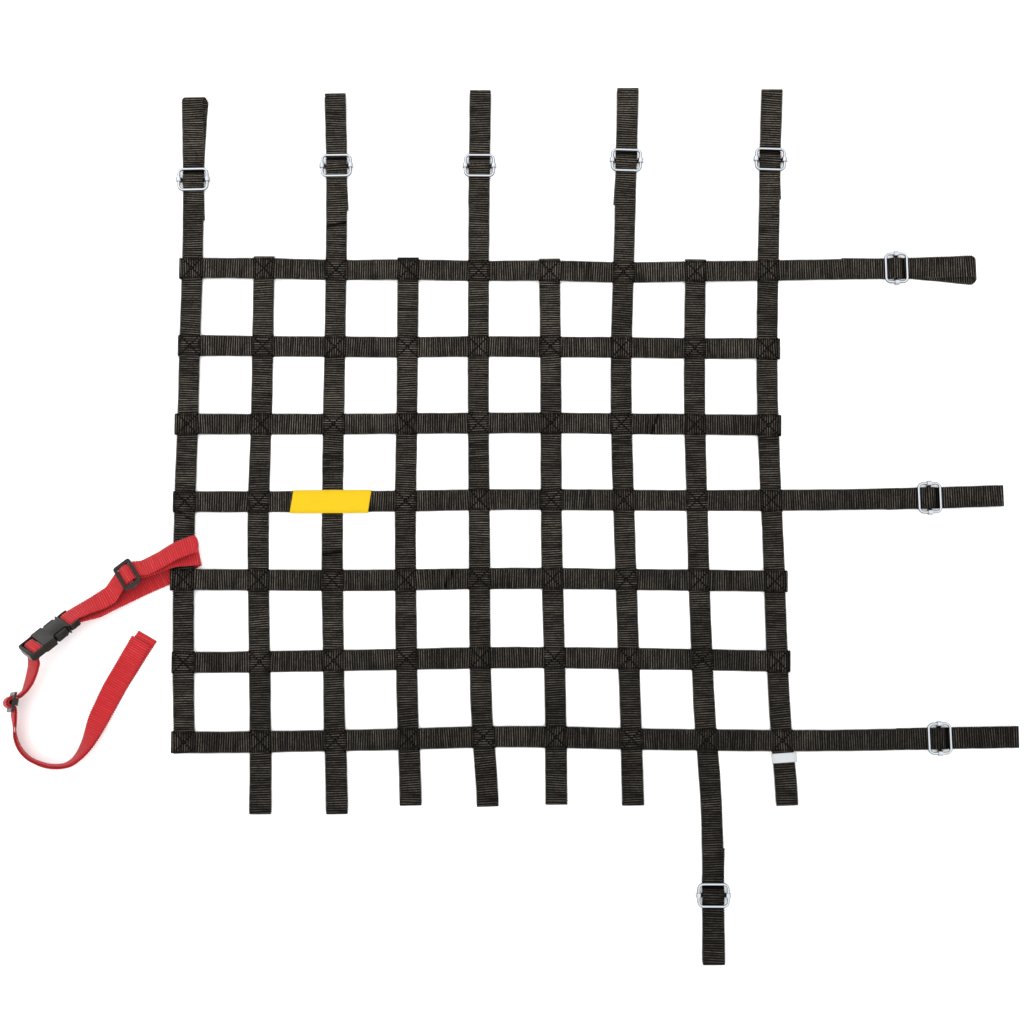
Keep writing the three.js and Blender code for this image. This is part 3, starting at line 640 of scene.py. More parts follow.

# %% [markdown]
# ## The webbing's finish
# Polyester yarn, woven tight and dyed through: a matt cloth. Its rib tops carry a painted highlight,
# greyer in worn patches, and its grooves a painted shade. A wave follows the ribs through the cloth's
# own measures, and its power keeps the painted highlight on each rib thin. Three stretched noises
# break that line up: beads for single yarns, patches for single ribs and longer bands. A finer wave
# draws the warp threads, and a painted falloff of light makes the webbing paler towards the upper
# left and darker towards the lower right.
# Where a crossing is sewn, the box and its cross pull the cloth down, and painted shade draws them
# as lines of holes. Creases, and the dips where a loop dives through its slide, get painted shade as well.

# %% Painted highlight on the ribs
RIB_POWER = 3.8
RIB_PATCH = (1 / 16, 1 / 2.1, 1)
BAND_PATCH = (1 / 60, 1 / 9, 1)
BEAD_PATCH = (1 / 1.6, 1 / 2.5, 1)
# Painted falloff of light: the rib highlight is stronger towards the upper left and weaker towards the lower
# right.
PAINTED_LIGHT_SIDE = (-0.3, 0.8, 0)
PAINTED_SHADE_END = -0.33
PAINTED_LIGHT_END = 0.25
WAVE_TURN = 20 / (2 * math.pi)  # waves in each unit of Blender's wave texture at scale 1


def painted_rib_highlight(tree, weave, here):
    """Painted highlight lines on the ribs, from 0 in a shaded groove to 1 on a lit rib top."""
    rib = add(
        tree, "TexWave", {"Vector": weave, "Scale": 1 / (RIB * WAVE_TURN), "Distortion": 0},
        bands_direction="Y",
    ).outputs["Fac"]
    rib = add(tree, "Math", {0: rib, 1: RIB_POWER}, operation="POWER").outputs[0]
    patches = []
    for stretch, detail in ((RIB_PATCH, 2), (BAND_PATCH, 2), (BEAD_PATCH, 1)):
        spread = add(tree, "Mapping", {"Vector": weave, "Scale": stretch}).outputs[0]
        noise = add(tree, "TexNoise", {"Vector": spread, "Scale": 1, "Detail": detail})
        patches.append(noise.outputs["Fac"])
    uneven = add(tree, "Math", {0: patches[0], 1: patches[1]}, operation="MULTIPLY").outputs[0]
    # painted falloff of light across the net
    painted_light_falloff = add(tree, "VectorMath", {0: here, 1: PAINTED_LIGHT_SIDE}, operation="DOT_PRODUCT").outputs["Value"]
    ramps = [  # value, its range, strength over that range, product kept to 1
        (uneven, (0.12, 0.4), (0.12, 1.3), True),
        (painted_light_falloff, (PAINTED_SHADE_END, PAINTED_LIGHT_END), (0.5, 1.05), False),
        (patches[2], (0.3, 0.65), (0.4, 1.1), True),
    ]
    for value, (low, high), (weak, strong), kept in ramps:
        ramp = add(
            tree, "MapRange",
            {"Value": value, "From Min": low, "From Max": high, "To Min": weak, "To Max": strong},
        )
        product = add(tree, "Math", {0: rib, 1: ramp.outputs[0]}, operation="MULTIPLY", use_clamp=kept)
        rib = product.outputs[0]
    return rib


print("light lines for each centimetre:", round(10 / RIB))

# %% Painted shade along seams and creases
STITCH_BOX = 10.2
STITCH_PITCH = 3.1
PRESS_IN = 0.25
PRESS_OUT = 1.9
# Creases and the dips beside each slide get painted shade, strongest on the line.
CREASE_IN = 0.2
CREASE_OUT = 3.6
CREASE_DARK = 0.88


def seams_and_creases(tree, sewn):
    """Painted shade where a seam pulls the cloth in and along creases, and the cross of the seam alone."""
    parts = add(tree, "SeparateXYZ", {0: sewn})
    side, length, fold_gap = [
        add(tree, "Math", {0: parts.outputs[axis]}, operation="ABSOLUTE").outputs[0] for axis in "XYZ"
    ]
    outer = add(tree, "Math", {0: side, 1: length}, operation="MAXIMUM").outputs[0]
    inner = add(tree, "Math", {0: side, 1: length}, operation="MINIMUM").outputs[0]
    to_box = add(tree, "Math", {0: outer, 1: STITCH_BOX}, operation="SUBTRACT").outputs[0]
    to_box = add(tree, "Math", {0: to_box}, operation="ABSOLUTE").outputs[0]
    to_cross = add(tree, "Math", {0: outer, 1: inner}, operation="SUBTRACT").outputs[0]
    lines = [  # distance, full within, gone beyond, strength
        (to_box, PRESS_IN, PRESS_OUT, 1),
        (to_cross, PRESS_IN, PRESS_OUT, 1),
        (fold_gap, CREASE_IN, CREASE_OUT, CREASE_DARK),
    ]
    box, cross, crease = [
        add(
            tree, "MapRange",
            {"Value": gap, "From Min": full, "From Max": gone, "To Min": strength, "To Max": 0},
            interpolation_type="SMOOTHSTEP",
        ).outputs[0]
        for gap, full, gone, strength in lines
    ]
    near = add(tree, "Math", {0: outer, 1: SEWN_REACH}, operation="LESS_THAN").outputs[0]
    box, cross = [
        add(tree, "Math", {0: line, 1: near}, operation="MULTIPLY").outputs[0] for line in (box, cross)
    ]
    # Painted shade of the needle holes along the box.
    turns = add(tree, "Math", {0: inner, 1: 2 * math.pi / STITCH_PITCH}, operation="MULTIPLY").outputs[0]
    holes = add(tree, "Math", {0: turns}, operation="COSINE").outputs[0]
    holes = add(
        tree, "MapRange", {"Value": holes, "From Min": -0.4, "From Max": 0.8, "To Min": 0.35, "To Max": 1},
    ).outputs[0]
    painted_shade = add(tree, "Math", {0: box, 1: holes}, operation="MULTIPLY").outputs[0]
    for line in (cross, crease):
        painted_shade = add(tree, "Math", {0: painted_shade, 1: line}, operation="MAXIMUM").outputs[0]
    return painted_shade, cross


print("stitches for each side of a box:", round(2 * STITCH_BOX / STITCH_PITCH))

# %% Webbing material
WARP_PITCH = 0.9
FADE_SIZE = 60
FIBRE_SIZE = 0.5
YARN_RELIEF = 0.05
SEAM_RELIEF = -0.2


def woven_polyester(name, groove, top, worn, roughness, sheen):
    """Ribbed polyester webbing in its colour, with worn patches, a painted highlight on the rib tops and
    painted shade in the grooves, seams and creases.
    """
    material, tree = new_material(name)
    weave, sewn = [
        add(tree, "Attribute", attribute_name=label).outputs["Vector"] for label in ("weave", "sewn")
    ]
    here = add(tree, "TexCoord").outputs["Object"]
    rib = painted_rib_highlight(tree, weave, here)
    painted_shade, cross = seams_and_creases(tree, sewn)
    warp = add(
        tree, "TexWave",
        {"Vector": weave, "Scale": 1 / (WARP_PITCH * WAVE_TURN), "Distortion": 0.6, "Detail": 1},
        bands_direction="X",
    ).outputs["Fac"]
    fade, fibre = [
        add(tree, "TexNoise", {"Vector": here, "Scale": 1 / (size * MM), "Detail": detail}).outputs["Fac"]
        for size, detail in ((FADE_SIZE, 3), (FIBRE_SIZE, 2))
    ]
    # Worn patches, only where the painted highlight lies on a rib top.
    wear_on_painted_highlight = add(
        tree, "MapRange", {"Value": fade, "From Min": 0.38, "From Max": 0.7, "To Min": 0, "To Max": 0.6},
    ).outputs[0]
    wear_on_painted_highlight = add(tree, "Math", {0: wear_on_painted_highlight, 1: rib}, operation="MULTIPLY").outputs[0]
    # Mixed in turn: painted highlight on the ribs, worn patches on it, then painted shade at seams and
    # creases.
    base = colour(groove)
    for share, tone in ((rib, top), (wear_on_painted_highlight, worn), (painted_shade, groove)):
        mixed = add(tree, "Mix", {"Factor": share, "A": base, "B": colour(tone)}, data_type="RGBA")
        base = mixed.outputs["Result"]
    glint = add(tree, "MapRange", {"Value": painted_shade, "To Min": 0.07, "To Max": 0}).outputs[0]
    relief = add(tree, "Math", {0: warp, 1: YARN_RELIEF}, operation="MULTIPLY").outputs[0]
    for height, share in ((fibre, YARN_RELIEF), (cross, SEAM_RELIEF)):
        summed = add(tree, "Math", {0: height, 1: share, 2: relief}, operation="MULTIPLY_ADD")
        relief = summed.outputs[0]
    bump = add(tree, "Bump", {"Height": relief, "Distance": MM, "Strength": 1})
    finish_material(tree, add(tree, "BsdfPrincipled", {
        "Base Color": base, "Roughness": roughness, "IOR": 1.5, "Specular IOR Level": glint,
        "Sheen Weight": sheen, "Sheen Roughness": 0.5, "Normal": bump.outputs[0],
    }))
    return material


# groove is the painted shade colour of grooves, seams and creases, top the painted highlight on a rib, worn
# the wear on it.
BLACK_WEBBING = woven_polyester("black_polyester_webbing", "#030202", "#625c53", "#746e64", 0.85, 0)
RED_WEBBING = woven_polyester("red_polyester_webbing", "#971e22", "#c4383c", "#c95759", 0.8, 0.1)
print("webbing finishes are ready")

# %% Weave the rows and the columns
LAID_SOFTEN = 1.2

sheets = []
for r in ROWS:
    stations = on_line(row_path(r), row_line(r))
    mesh, length = webbing_strap(f"webbing_row_{r}", *stations, "row", LAID_SOFTEN)
    piece = place_piece(f"webbing_row_{r}", mesh, BLACK_WEBBING, f"row_strap_{r}")
    sheets.append(length)
for c in COLUMNS:
    stations = on_line(column_path(c), column_line(c))
    mesh, length = webbing_strap(f"webbing_column_{c}", *stations, "column", LAID_SOFTEN)
    piece = place_piece(f"webbing_column_{c}", mesh, BLACK_WEBBING, f"column_strap_{c}")
    sheets.append(length)
print("black webbing in metres:", round(sum(sheets) * MM, 2))

# %% [markdown]
# ## Sewing
# Every crossing is sewn with a box and a cross through it, in thread of the webbing's own colour.
# One such patch is made from small drawn-out balls, one for each stitch, and is set down again at
# every crossing, turned with the strap. A stitch has few faces, since there are thousands of them.

# %% One sewn patch
STITCH_LONG = 1.9
STITCH_ROUND = 0.42
THREAD_LIFT = 0.68


def stitch(shape, start, stop, flatten=1):
    """One stitch between two needle holes, as a ball drawn out along the seam."""
    middle, way = (start + stop) / 2, stop - start
    turn = Matrix.Rotation(math.atan2(way.y, way.x), 4, "Z")
    size = Matrix.Diagonal((STITCH_LONG / 2, STITCH_ROUND, STITCH_ROUND * flatten, 1))
    bmesh.ops.create_uvsphere(
        shape, u_segments=5, v_segments=4, radius=1, matrix=Matrix.Translation(middle) @ turn @ size,
    )


def seam(shape, start, stop, flatten=1):
    """Stitches end to end between two points."""
    start, stop = Vector(start), Vector(stop)
    count = max(1, round((stop - start).length / STITCH_PITCH))
    for k in range(count):
        stitch(shape, start.lerp(stop, k / count), start.lerp(stop, (k + 1) / count), flatten)


def sewn_patch(flatten):
    """A box with its cross, in millimetres round the origin."""
    shape = bmesh.new()
    b = STITCH_BOX
    corners = [(-b, -b, 0), (b, -b, 0), (b, b, 0), (-b, b, 0)]
    for k in range(4):
        seam(shape, corners[k], corners[(k + 1) % 4], flatten)
    seam(shape, corners[0], corners[2], flatten)
    seam(shape, corners[1], corners[3], flatten)
    mesh = bpy.data.meshes.new("patch")
    shape.to_mesh(mesh)
    shape.free()
    return mesh


def sew_all(name, flatten, height):
    """The patch at every crossing, at the height that the function gives."""
    patch = sewn_patch(flatten)
    shape = bmesh.new()
    for (r, c), (x, y) in CROSSINGS.items():
        z = height(r, c)
        if z is None:
            continue
        known = len(shape.verts)
        shape.from_mesh(patch)
        shape.verts.ensure_lookup_table()
        ahead = row_line(r)(x + 1) - row_line(r)(x - 1)
        turn = Matrix.Rotation(math.atan2(ahead[1], ahead[0]), 4, "Z")
        place = Matrix.Scale(MM, 4) @ Matrix.Translation((x, y, z)) @ turn
        bmesh.ops.transform(shape, matrix=place, verts=shape.verts[known:])
    for face in shape.faces:
        face.smooth = True
    mesh = bpy.data.meshes.new(name)
    shape.to_mesh(mesh)
    shape.free()
    bpy.data.meshes.remove(patch)
    return mesh


# %% Thread material and the sewing on both sides
LABELLED = (4, 3)
UNDER_FLATTEN = 0.16
UNDER_TUCK = 0.03


def bonded_thread(name, shade_code, light_code):
    """Twisted polyester sewing thread: a soft shine, and a slight change of tone."""
    material, tree = new_material(name)
    here = add(tree, "TexCoord").outputs["Object"]
    twist = add(tree, "TexNoise", {"Vector": here, "Scale": 1 / (1.2 * MM), "Detail": 1}).outputs["Fac"]
    tone = add(
        tree, "Mix", {"Factor": twist, "A": colour(shade_code), "B": colour(light_code)}, data_type="RGBA",
    ).outputs["Result"]
    bump = add(tree, "Bump", {"Height": twist, "Distance": 0.1 * MM, "Strength": 0.6})
    finish_material(tree, add(tree, "BsdfPrincipled", {
        "Base Color": tone, "Roughness": 0.8, "IOR": 1.5, "Specular IOR Level": 0.1,
        "Normal": bump.outputs[0],
    }))
    return material


BLACK_THREAD = bonded_thread("black_bonded_thread", "#0b0a09", "#2b2824")


def top_of_sewing(r, c):
    """On the upper strap of the pair, but not where the front label covers it."""
    return None if (r, c) == LABELLED else level_z(layers_below(r, c) + 1) + THREAD_LIFT


def under_of_sewing(r, c):
    """In the grooves of the lowest layer."""
    return level_z(0) - THREAD_LIFT + UNDER_TUCK


for name, flatten, height in (
    ("sewing_upper_side", 1, top_of_sewing),
    ("sewing_under_side", UNDER_FLATTEN, under_of_sewing),
):
    piece = place_piece(name, sew_all(name, flatten, height), BLACK_THREAD, None)
    print(name, len(piece.data.polygons), "stitch faces")

# %% [markdown]
# ## Metal slides
# A slide is a wire bent to a rounded oblong and closed, with a flat bar hooked loosely round its two
# long sides, so that it can grip the strap. The wire is a round section carried along the oblong,
# made with the same rolled grid as the webbing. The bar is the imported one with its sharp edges
# rounded, because pressed steel never has a knife edge.

# %% Wire frames and their bars
WIRE = 3
FRAME_ACROSS = 34
FRAME_ALONG = 26
FRAME_CORNER = 5
FRAME_Z = 5.1
CORNER_STEPS = 12
WIRE_SIDES = 16
# Painted shade: the wire's colour is dark below the first height and bright above the second.
PAINTED_SHADE_BELOW = 5.9
BRIGHT_ABOVE = 6.45


def oblong():
    """Points round the wire's middle, and the way out from it at each."""
    half = [(FRAME_ACROSS - WIRE) / 2 - FRAME_CORNER, (FRAME_ALONG - WIRE) / 2 - FRAME_CORNER]
    points, outs = [], []
    for corner, (sx, sy) in enumerate([(1, 1), (-1, 1), (-1, -1), (1, -1)]):
        for k in range(CORNER_STEPS + 1):
            turn = (corner + k / CORNER_STEPS) * math.pi / 2
            out = np.array([math.cos(turn), math.sin(turn), 0])
            points.append(np.array([sx * half[0], sy * half[1], 0]) + out * FRAME_CORNER)
            outs.append(out)
    return np.array(points), np.array(outs)


def wire_frame(name):
    """The closed wire, lying flat round the origin, in metres."""
    points, outs = oblong()
    turns = [2 * math.pi * k / WIRE_SIDES for k in range(WIRE_SIDES)]
    section = [(math.cos(t), math.sin(t)) for t in turns]
    radius = np.full(len(points), WIRE / 2)
    mesh = rolled(name, points, outs, radius, radius, section, ring=True)[0]
    close_up(mesh)
    return mesh


def rounded_copy(name, node, edge, segments=3, sharp=35):
    """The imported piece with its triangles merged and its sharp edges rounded."""
    shape = bmesh.new()
    shape.from_mesh(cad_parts[node].data)
    bmesh.ops.remove_doubles(shape, verts=shape.verts, dist=MERGE)
    bmesh.ops.dissolve_limit(shape, angle_limit=math.radians(1), verts=shape.verts, edges=shape.edges)
    corners = [e for e in shape.edges if e.is_manifold and e.calc_face_angle(0) > math.radians(sharp)]
    bmesh.ops.bevel(
        shape, geom=corners, offset=edge * MM, offset_type="OFFSET", segments=segments, profile=0.5,
        material=-1, affect="EDGES", clamp_overlap=True,
    )
    for face in shape.faces:
        face.smooth = True
    for line in shape.edges:
        line.smooth = line.calc_face_angle(0) < math.radians(sharp)
    mesh = bpy.data.meshes.new(name)
    shape.to_mesh(mesh)
    shape.free()
    return mesh


def chromed_steel():
    """Steel wire with chrome; its colour has painted shade down its flanks below a set height and is bright
    on top.
    """
    material, tree = new_material("chromed_steel_wire")
    here = add(tree, "TexCoord").outputs["Object"]
    spots = add(tree, "TexNoise", {"Vector": here, "Scale": 1 / (5 * MM), "Detail": 4}).outputs["Fac"]
    dull = add(
        tree, "MapRange", {"Value": spots, "From Min": 0.35, "From Max": 0.7, "To Min": 0.1, "To Max": 0.3},
    ).outputs[0]
    hairs = add(tree, "TexNoise", {"Vector": here, "Scale": 1 / (0.7 * MM), "Detail": 2}).outputs["Fac"]
    bump = add(tree, "Bump", {"Height": hairs, "Distance": 0.02 * MM, "Strength": 0.4})
    # Painted shade down the wire's flanks, by height.
    level = add(tree, "SeparateXYZ", {0: here}).outputs["Z"]
    wear_and_painted_shade = add(
        tree, "MapRange",
        {"Value": level, "From Min": PAINTED_SHADE_BELOW * MM, "From Max": BRIGHT_ABOVE * MM},
    ).outputs[0]
    tone = add(
        tree, "Mix", {"Factor": wear_and_painted_shade, "A": colour("#14171b"), "B": colour("#abb0b6")}, data_type="RGBA",
    ).outputs["Result"]
    finish_material(tree, add(tree, "BsdfPrincipled", {
        "Base Color": tone, "Metallic": 1, "Roughness": dull, "Normal": bump.outputs[0],
    }))
    return material


CHROME = chromed_steel()
for name, loop in LOOPS.items():
    line, _ = loop_line(name)
    heading = line(loop["slide"] + 1) - line(loop["slide"] - 1)
    mesh = wire_frame(f"slide_wire_{name}")
    turn = Matrix.Rotation(math.atan2(heading[1], heading[0]) - math.pi / 2, 4, "Z")
    middle = Vector(line(loop["slide"]) + np.array([0, 0, FRAME_Z])) * MM
    mesh.transform(Matrix.Translation(middle) @ turn)
    place_piece(f"slide_wire_{name}", mesh, CHROME, f"slide_frame_{name}")
    bar = rounded_copy(f"slide_bar_{name}_rounded", f"slide_bar_{name}", 0.3)
    place_piece(f"slide_centre_bar_{name}", bar, CHROME, f"slide_bar_{name}")
print("slides:", len(LOOPS))

# %% [markdown]
# ## Red strap, buckle and sliders
# The red strap releases the net in one pull. Its upper half goes from the buckle plug through a
# plastic slider, round column 1 and back. Its lower half is doubled: it goes round the bar of the
# buckle socket, bulges through the second slider and curls away to its two free ends. The strap
# stands and twists as it likes, so its stations are rows of place, bearing and lift, and where it
# goes round a moulded bar they are given along that moulding instead.

# %% Moulded parts' own directions


def sine_cosine(angle):
    """Sine and cosine of an angle in degrees."""
    return math.sin(math.radians(angle)), math.cos(math.radians(angle))


def moulding(middle, bearing, pitch, lift):
    """u runs along the strap, a points to the raised edge, n is the face."""
    sb, cb = sine_cosine(bearing)
    sp, cp = sine_cosine(pitch)
    sl, cl = sine_cosine(lift)
    level = np.array([sb, -cb, 0])
    u = np.array([cb * cp, sb * cp, sp])
    a = level * cl + np.cross(level, u) * sl
    return dict(middle=np.array(middle), u=u, a=a, n=-np.cross(u, a))


BUCKLE_AT = moulding((-451.6, -145.3, 23.7), 42.8, -21.8, 43)
UPPER_SLIDER_AT = moulding((-372.8, -82.4, 11.2), 37, 0, 28)
LOWER_SLIDER_AT = moulding((-488.4, -216.4, 17.6), -98.6, 7, -66)


def wrapped(at, pairs):
    """Stations round a moulded bar: place along the moulding, height off its middle."""
    points = [at["middle"] + at["u"] * along_it + at["n"] * up for along_it, up in pairs]
    return np.array(points), np.tile(at["a"], (len(pairs), 1))


print("moulded middles:", BUCKLE_AT["middle"], UPPER_SLIDER_AT["middle"], LOWER_SLIDER_AT["middle"])

# %% [markdown]
# ## Free runs of the red strap
# Between the mouldings the strap hangs in a smooth curve. Its rows are joined by a centripetal
# curve, which never loops or overshoots where rows lie close together. A doubled strap is one run
# moved off its own face to both sides, and the pieces of a run are joined end to end.

# %% Smooth runs through rows
PARTS = 8


def run_of(rows):
    """Smooth stations through rows of x, y, z and the edge's bearing and lift."""
    table = np.array(rows, dtype=float)
    points = table[:, :3]
    bearing, lift = np.radians(table[:, 3]), np.radians(table[:, 4])
    edges = np.stack([np.cos(lift) * np.cos(bearing), np.cos(lift) * np.sin(bearing), np.sin(lift)], axis=1)
    ends = [2 * points[0] - points[1], *points, 2 * points[-1] - points[-2]]
    made, sides = [], []
    for i in range(len(points) - 1):
        four = ends[i:i + 4]
        knots = [0]
        for before, after in zip(four, four[1:]):
            knots.append(knots[-1] + math.sqrt(np.linalg.norm(after - before)))
        for k in range(PARTS):
            made.append(between(four, knots, knots[1] + (knots[2] - knots[1]) * k / PARTS))
            sides.append(edges[i] + (edges[i + 1] - edges[i]) * k / PARTS)
    return np.array([*made, points[-1]]), unit(np.array([*sides, edges[-1]]))


def between(four, knots, at):
    """A centripetal curve through four points, by repeated blending."""
    values = list(four)
    for span in (1, 2, 3):
        values = [blend_of(values, knots, k, span, at) for k in range(4 - span)]
    return values[0]


def blend_of(values, knots, k, span, at):
    """One blend of the curve's pyramid; its last one uses the inner span."""
    low, high = (knots[1], knots[2]) if span == 3 else (knots[k], knots[k + span])
    return (values[k] * (high - at) + values[k + 1] * (at - low)) / (high - low)


def shifted(points, edges, off, side=0):
    """The same run, moved off its face and towards its edge."""
    way = np.gradient(points, axis=0)
    faces = unit(np.cross(way, edges))
    return points + faces * off + edges * np.reshape(side, (-1, 1)), edges


def joined(*runs):
    """Several runs as one."""
    return np.concatenate([r[0] for r in runs]), np.concatenate([r[1] for r in runs])


def backwards(run):
    """The same run from its other end."""
    return run[0][::-1], run[1][::-1]


print("stations for each row of a table:", PARTS)

# %% The upper red strap
PLUG_RUN = [  # x, y, z, edge bearing, edge lift
    (-413.8, -114.6, 12.4, -48, 38),
    (-403, -109.1, 11.2, -55, 29),
    (-391.5, -102.2, 10.6, -54, 22),
]
FREE_END = [  # x, y, z, edge bearing, edge lift
    (-356.5, -73.8, 11.4, -58, 35),
    (-340, -65.7, 12.9, -61, 34),
    (-324, -56.4, 14, -64, 32),
    (-308.6, -50, 13.8, -69, 30),
    (-298.8, -47, 13, -74, 31),
]
NET_RUN = [  # x, y, z, edge bearing, edge lift
    (-355.8, -75.2, 9.2, -58, 34),
    (-341, -68.6, 9.4, -62, 27),
    (-327, -62.8, 9.3, -67, 14),
    (-312, -60.6, 8.7, -73, 10),
    (-304.5, -59.7, 8.7, -75, 7),
    (-300.7, -59.7, 7.9, -76, 7),
    (-299.4, -60, 4.6, -77, 7),
    (-302.8, -60.8, 1.65, -70, 1),
    (-309.5, -64.5, 1.05, -61, 0),
    (-322, -72, 1.05, -60, 0),
    (-337, -81.3, 1.05, -61, 0),
    (-357, -90.8, 3.2, -60, 10),
    (-382.5, -104.9, 5.6, -59, 25),
    (-406.6, -118.8, 7.8, -57, 36),
]
SLIDER_SEWN = [  # along the moulding, height off its middle
    (2, 2.1), (-1.6, 2.1), (-2.5, 1.4), (-2.7, 0), (-2.5, -1.4), (-1.6, -2.1), (2, -2.1), (5.5, -1.7),
    (10, -1.3),
]
SLIDER_THROUGH = [(-10.5, 1.1), (-6.4, 1.3), (-2.6, 3.9), (2.4, 3.95), (6.4, 1.3), (10.5, 1.1)]
ASIDE_IN_SLIDER = 1.5
PLUG_WRAP = [  # along the moulding, height off its middle
    (31, -2.6), (25.2, -2.6), (22.8, -2.6), (21.9, -2.2), (21.5, -1), (21.5, 1), (21.9, 2.2),
    (22.8, 2.6), (25.6, 2.6), (32, 2.6),
]
RED_SOFTEN = 1.1

through_upper = wrapped(UPPER_SLIDER_AT, SLIDER_THROUGH)
through_upper = (through_upper[0] - through_upper[1] * ASIDE_IN_SLIDER, through_upper[1])
upper_run = joined(
    wrapped(UPPER_SLIDER_AT, SLIDER_SEWN), run_of(NET_RUN), wrapped(BUCKLE_AT, PLUG_WRAP),
    run_of(PLUG_RUN), through_upper, run_of(FREE_END),
)
mesh, length = webbing_strap("red_strap_upper", *upper_run, "free", RED_SOFTEN, END_BOW)
piece = place_piece("red_strap_upper", mesh, RED_WEBBING, "red_upper_strap")
print("upper red strap in millimetres:", round(length))

# %% The lower red strap, doubled
SOCKET_RUN = [  # x, y, z, edge bearing, edge lift
    (-467.4, -171.4, 25.8, -27, 41),
    (-470.1, -182, 20.6, -40, 46),
    (-474.2, -193, 16.4, -33, 55),
]
FREE_RUN = [  # x, y, z, edge bearing, edge lift
    (-489.8, -232.5, 15.4, -16, 64),
    (-489.6, -241, 13.2, -4, 71),
    (-489, -251.6, 12.3, 9, 76),
    (-484.3, -263.6, 12.3, 28, 79),
    (-475.4, -273.6, 12.3, 47, 82),
    (-464, -279.6, 12.3, 63, 86),
    (-451.5, -283, 12.3, 82, 90),
    (-438.8, -282.8, 12.2, 101, 95),
    (-428.4, -278.8, 12.3, 123, 106),
    (-419.7, -269.8, 11.8, 139, 119),
    (-413.3, -259.5, 10.5, 149, 132),
    (-408.7, -248.9, 8.3, 156, 146),
    (-403.7, -235, 5.4, 156, 164),
    (-396.7, -219, 3, 155, 176),
    (-389.7, -204, 2.1, 153, 180),
    (-371.6, -171.5, 2, 150, 180),
    (-360, -150.8, 2, 150, 180),
]
SOCKET_WRAP = [  # along the moulding, height off its middle
    (-27.04, -5.57), (-26.1, -2.6), (-25.6, 0.6), (-25.5, 1.6), (-25, 2.4), (-24, 2.65), (-17.4, 2.65),
    (-16, 2.4), (-15.4, 1.5), (-15.4, -1.7), (-16.4, -3.2), (-19.4, -4.4), (-22.6, -5.2), (-25.36, -6.83),
]
SLIDER_BULGE = [  # along the moulding, height off its middle
    (-13.6, -7.4), (-11, -5.6), (-8.4, -3.8), (-6.3, -1.7), (-5.1, 0.6), (-4.6, 2.8), (-4.4, 5),
    (-3.4, 7.2), (-1.2, 9), (1.4, 9.5), (3.7, 8.4), (4.8, 6.3), (4.9, 4), (4.7, 2.2), (5, 1.1),
    (5.8, 0.3), (7.2, -0.2), (9.4, -0.9),
]
PAIR = 1.05
END_LONGER = 7.5
END_SHIFT = 3
END_ROWS = 5

bulge_points, bulge_edges = wrapped(LOWER_SLIDER_AT, SLIDER_BULGE)
doubled = joined(run_of(SOCKET_RUN), (bulge_points, -bulge_edges), run_of(FREE_RUN))
from_tip = np.arange(len(doubled[0])) - len(doubled[0])
drift = END_SHIFT * np.maximum(0, 1 + from_tip / (END_ROWS * PARTS)) ** 2
below = shifted(*doubled, PAIR, drift)
above = shifted(*doubled, -PAIR)
last_way = unit(below[0][-1:] - below[0][-2:-1])
below = joined(below, (below[0][-1:] + last_way * END_LONGER, below[1][-1:]))
lower_run = joined(backwards(below), wrapped(BUCKLE_AT, SOCKET_WRAP), above)
mesh, length = webbing_strap("red_strap_lower", *lower_run, "free", RED_SOFTEN)
piece = place_piece("red_strap_lower", mesh, RED_WEBBING, "red_lower_strap")
print("lower red strap in millimetres:", round(length))

# %% [markdown]
# ## Buckle and sliders
# These are moulded in black acetal, a tough plastic with a low shine and a fine spark-eroded grain.
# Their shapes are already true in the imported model, so each is a copy of its node with rounded
# edges: a mould leaves a small radius on every edge, and that radius is what catches the light.

# %% Acetal finish and the moulded pieces
BUCKLE_EDGE = 0.5
SLIDER_EDGE = 0.6


def moulded_acetal():
    """Black acetal: satin, a little grey where it is worn, with a fine grain."""
    material, tree = new_material("black_moulded_acetal")
    here = add(tree, "TexCoord").outputs["Object"]
    grain = add(tree, "TexNoise", {"Vector": here, "Scale": 1 / (0.4 * MM), "Detail": 3}).outputs["Fac"]
    wear_and_painted_shade = add(tree, "TexNoise", {"Vector": here, "Scale": 1 / (9 * MM), "Detail": 4}).outputs["Fac"]
    tone = add(
        tree, "Mix", {"Factor": wear_and_painted_shade, "A": colour("#120f0d"), "B": colour("#231f1b")}, data_type="RGBA",
    ).outputs["Result"]
    shine = add(
        tree, "MapRange", {"Value": wear_and_painted_shade, "From Min": 0.3, "From Max": 0.7, "To Min": 0.28, "To Max": 0.45},
    ).outputs[0]
    bump = add(tree, "Bump", {"Height": grain, "Distance": 0.04 * MM, "Strength": 0.5})
    finish_material(tree, add(tree, "BsdfPrincipled", {
        "Base Color": tone, "Roughness": shine, "IOR": 1.48, "Specular IOR Level": 0.22,
        "Normal": bump.outputs[0],
    }))
    return material


ACETAL = moulded_acetal()
MOULDED = [  # piece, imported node, rounding of its edges
    ("buckle_socket_shell", "buckle_socket", BUCKLE_EDGE),
    ("buckle_plug_prongs", "buckle_plug", BUCKLE_EDGE),
    ("slider_upper", "red_upper_slider", SLIDER_EDGE),
    ("slider_lower", "red_lower_slider", SLIDER_EDGE),
]
for name, node, edge in MOULDED:
    piece = place_piece(name, rounded_copy(name, node, edge), ACETAL, node)
    print(name, len(piece.data.polygons), "faces")

# %% [markdown]
# ## Labels
# Two woven labels are sewn on: a yellow one across row 4, and a small white one below row 7. Both
# are left bare. They are thin damask ribbon with a folded hem at each end, so the sheet is a little
# thicker there, and it lies over the strap below. The yellow one is cut on a slant.

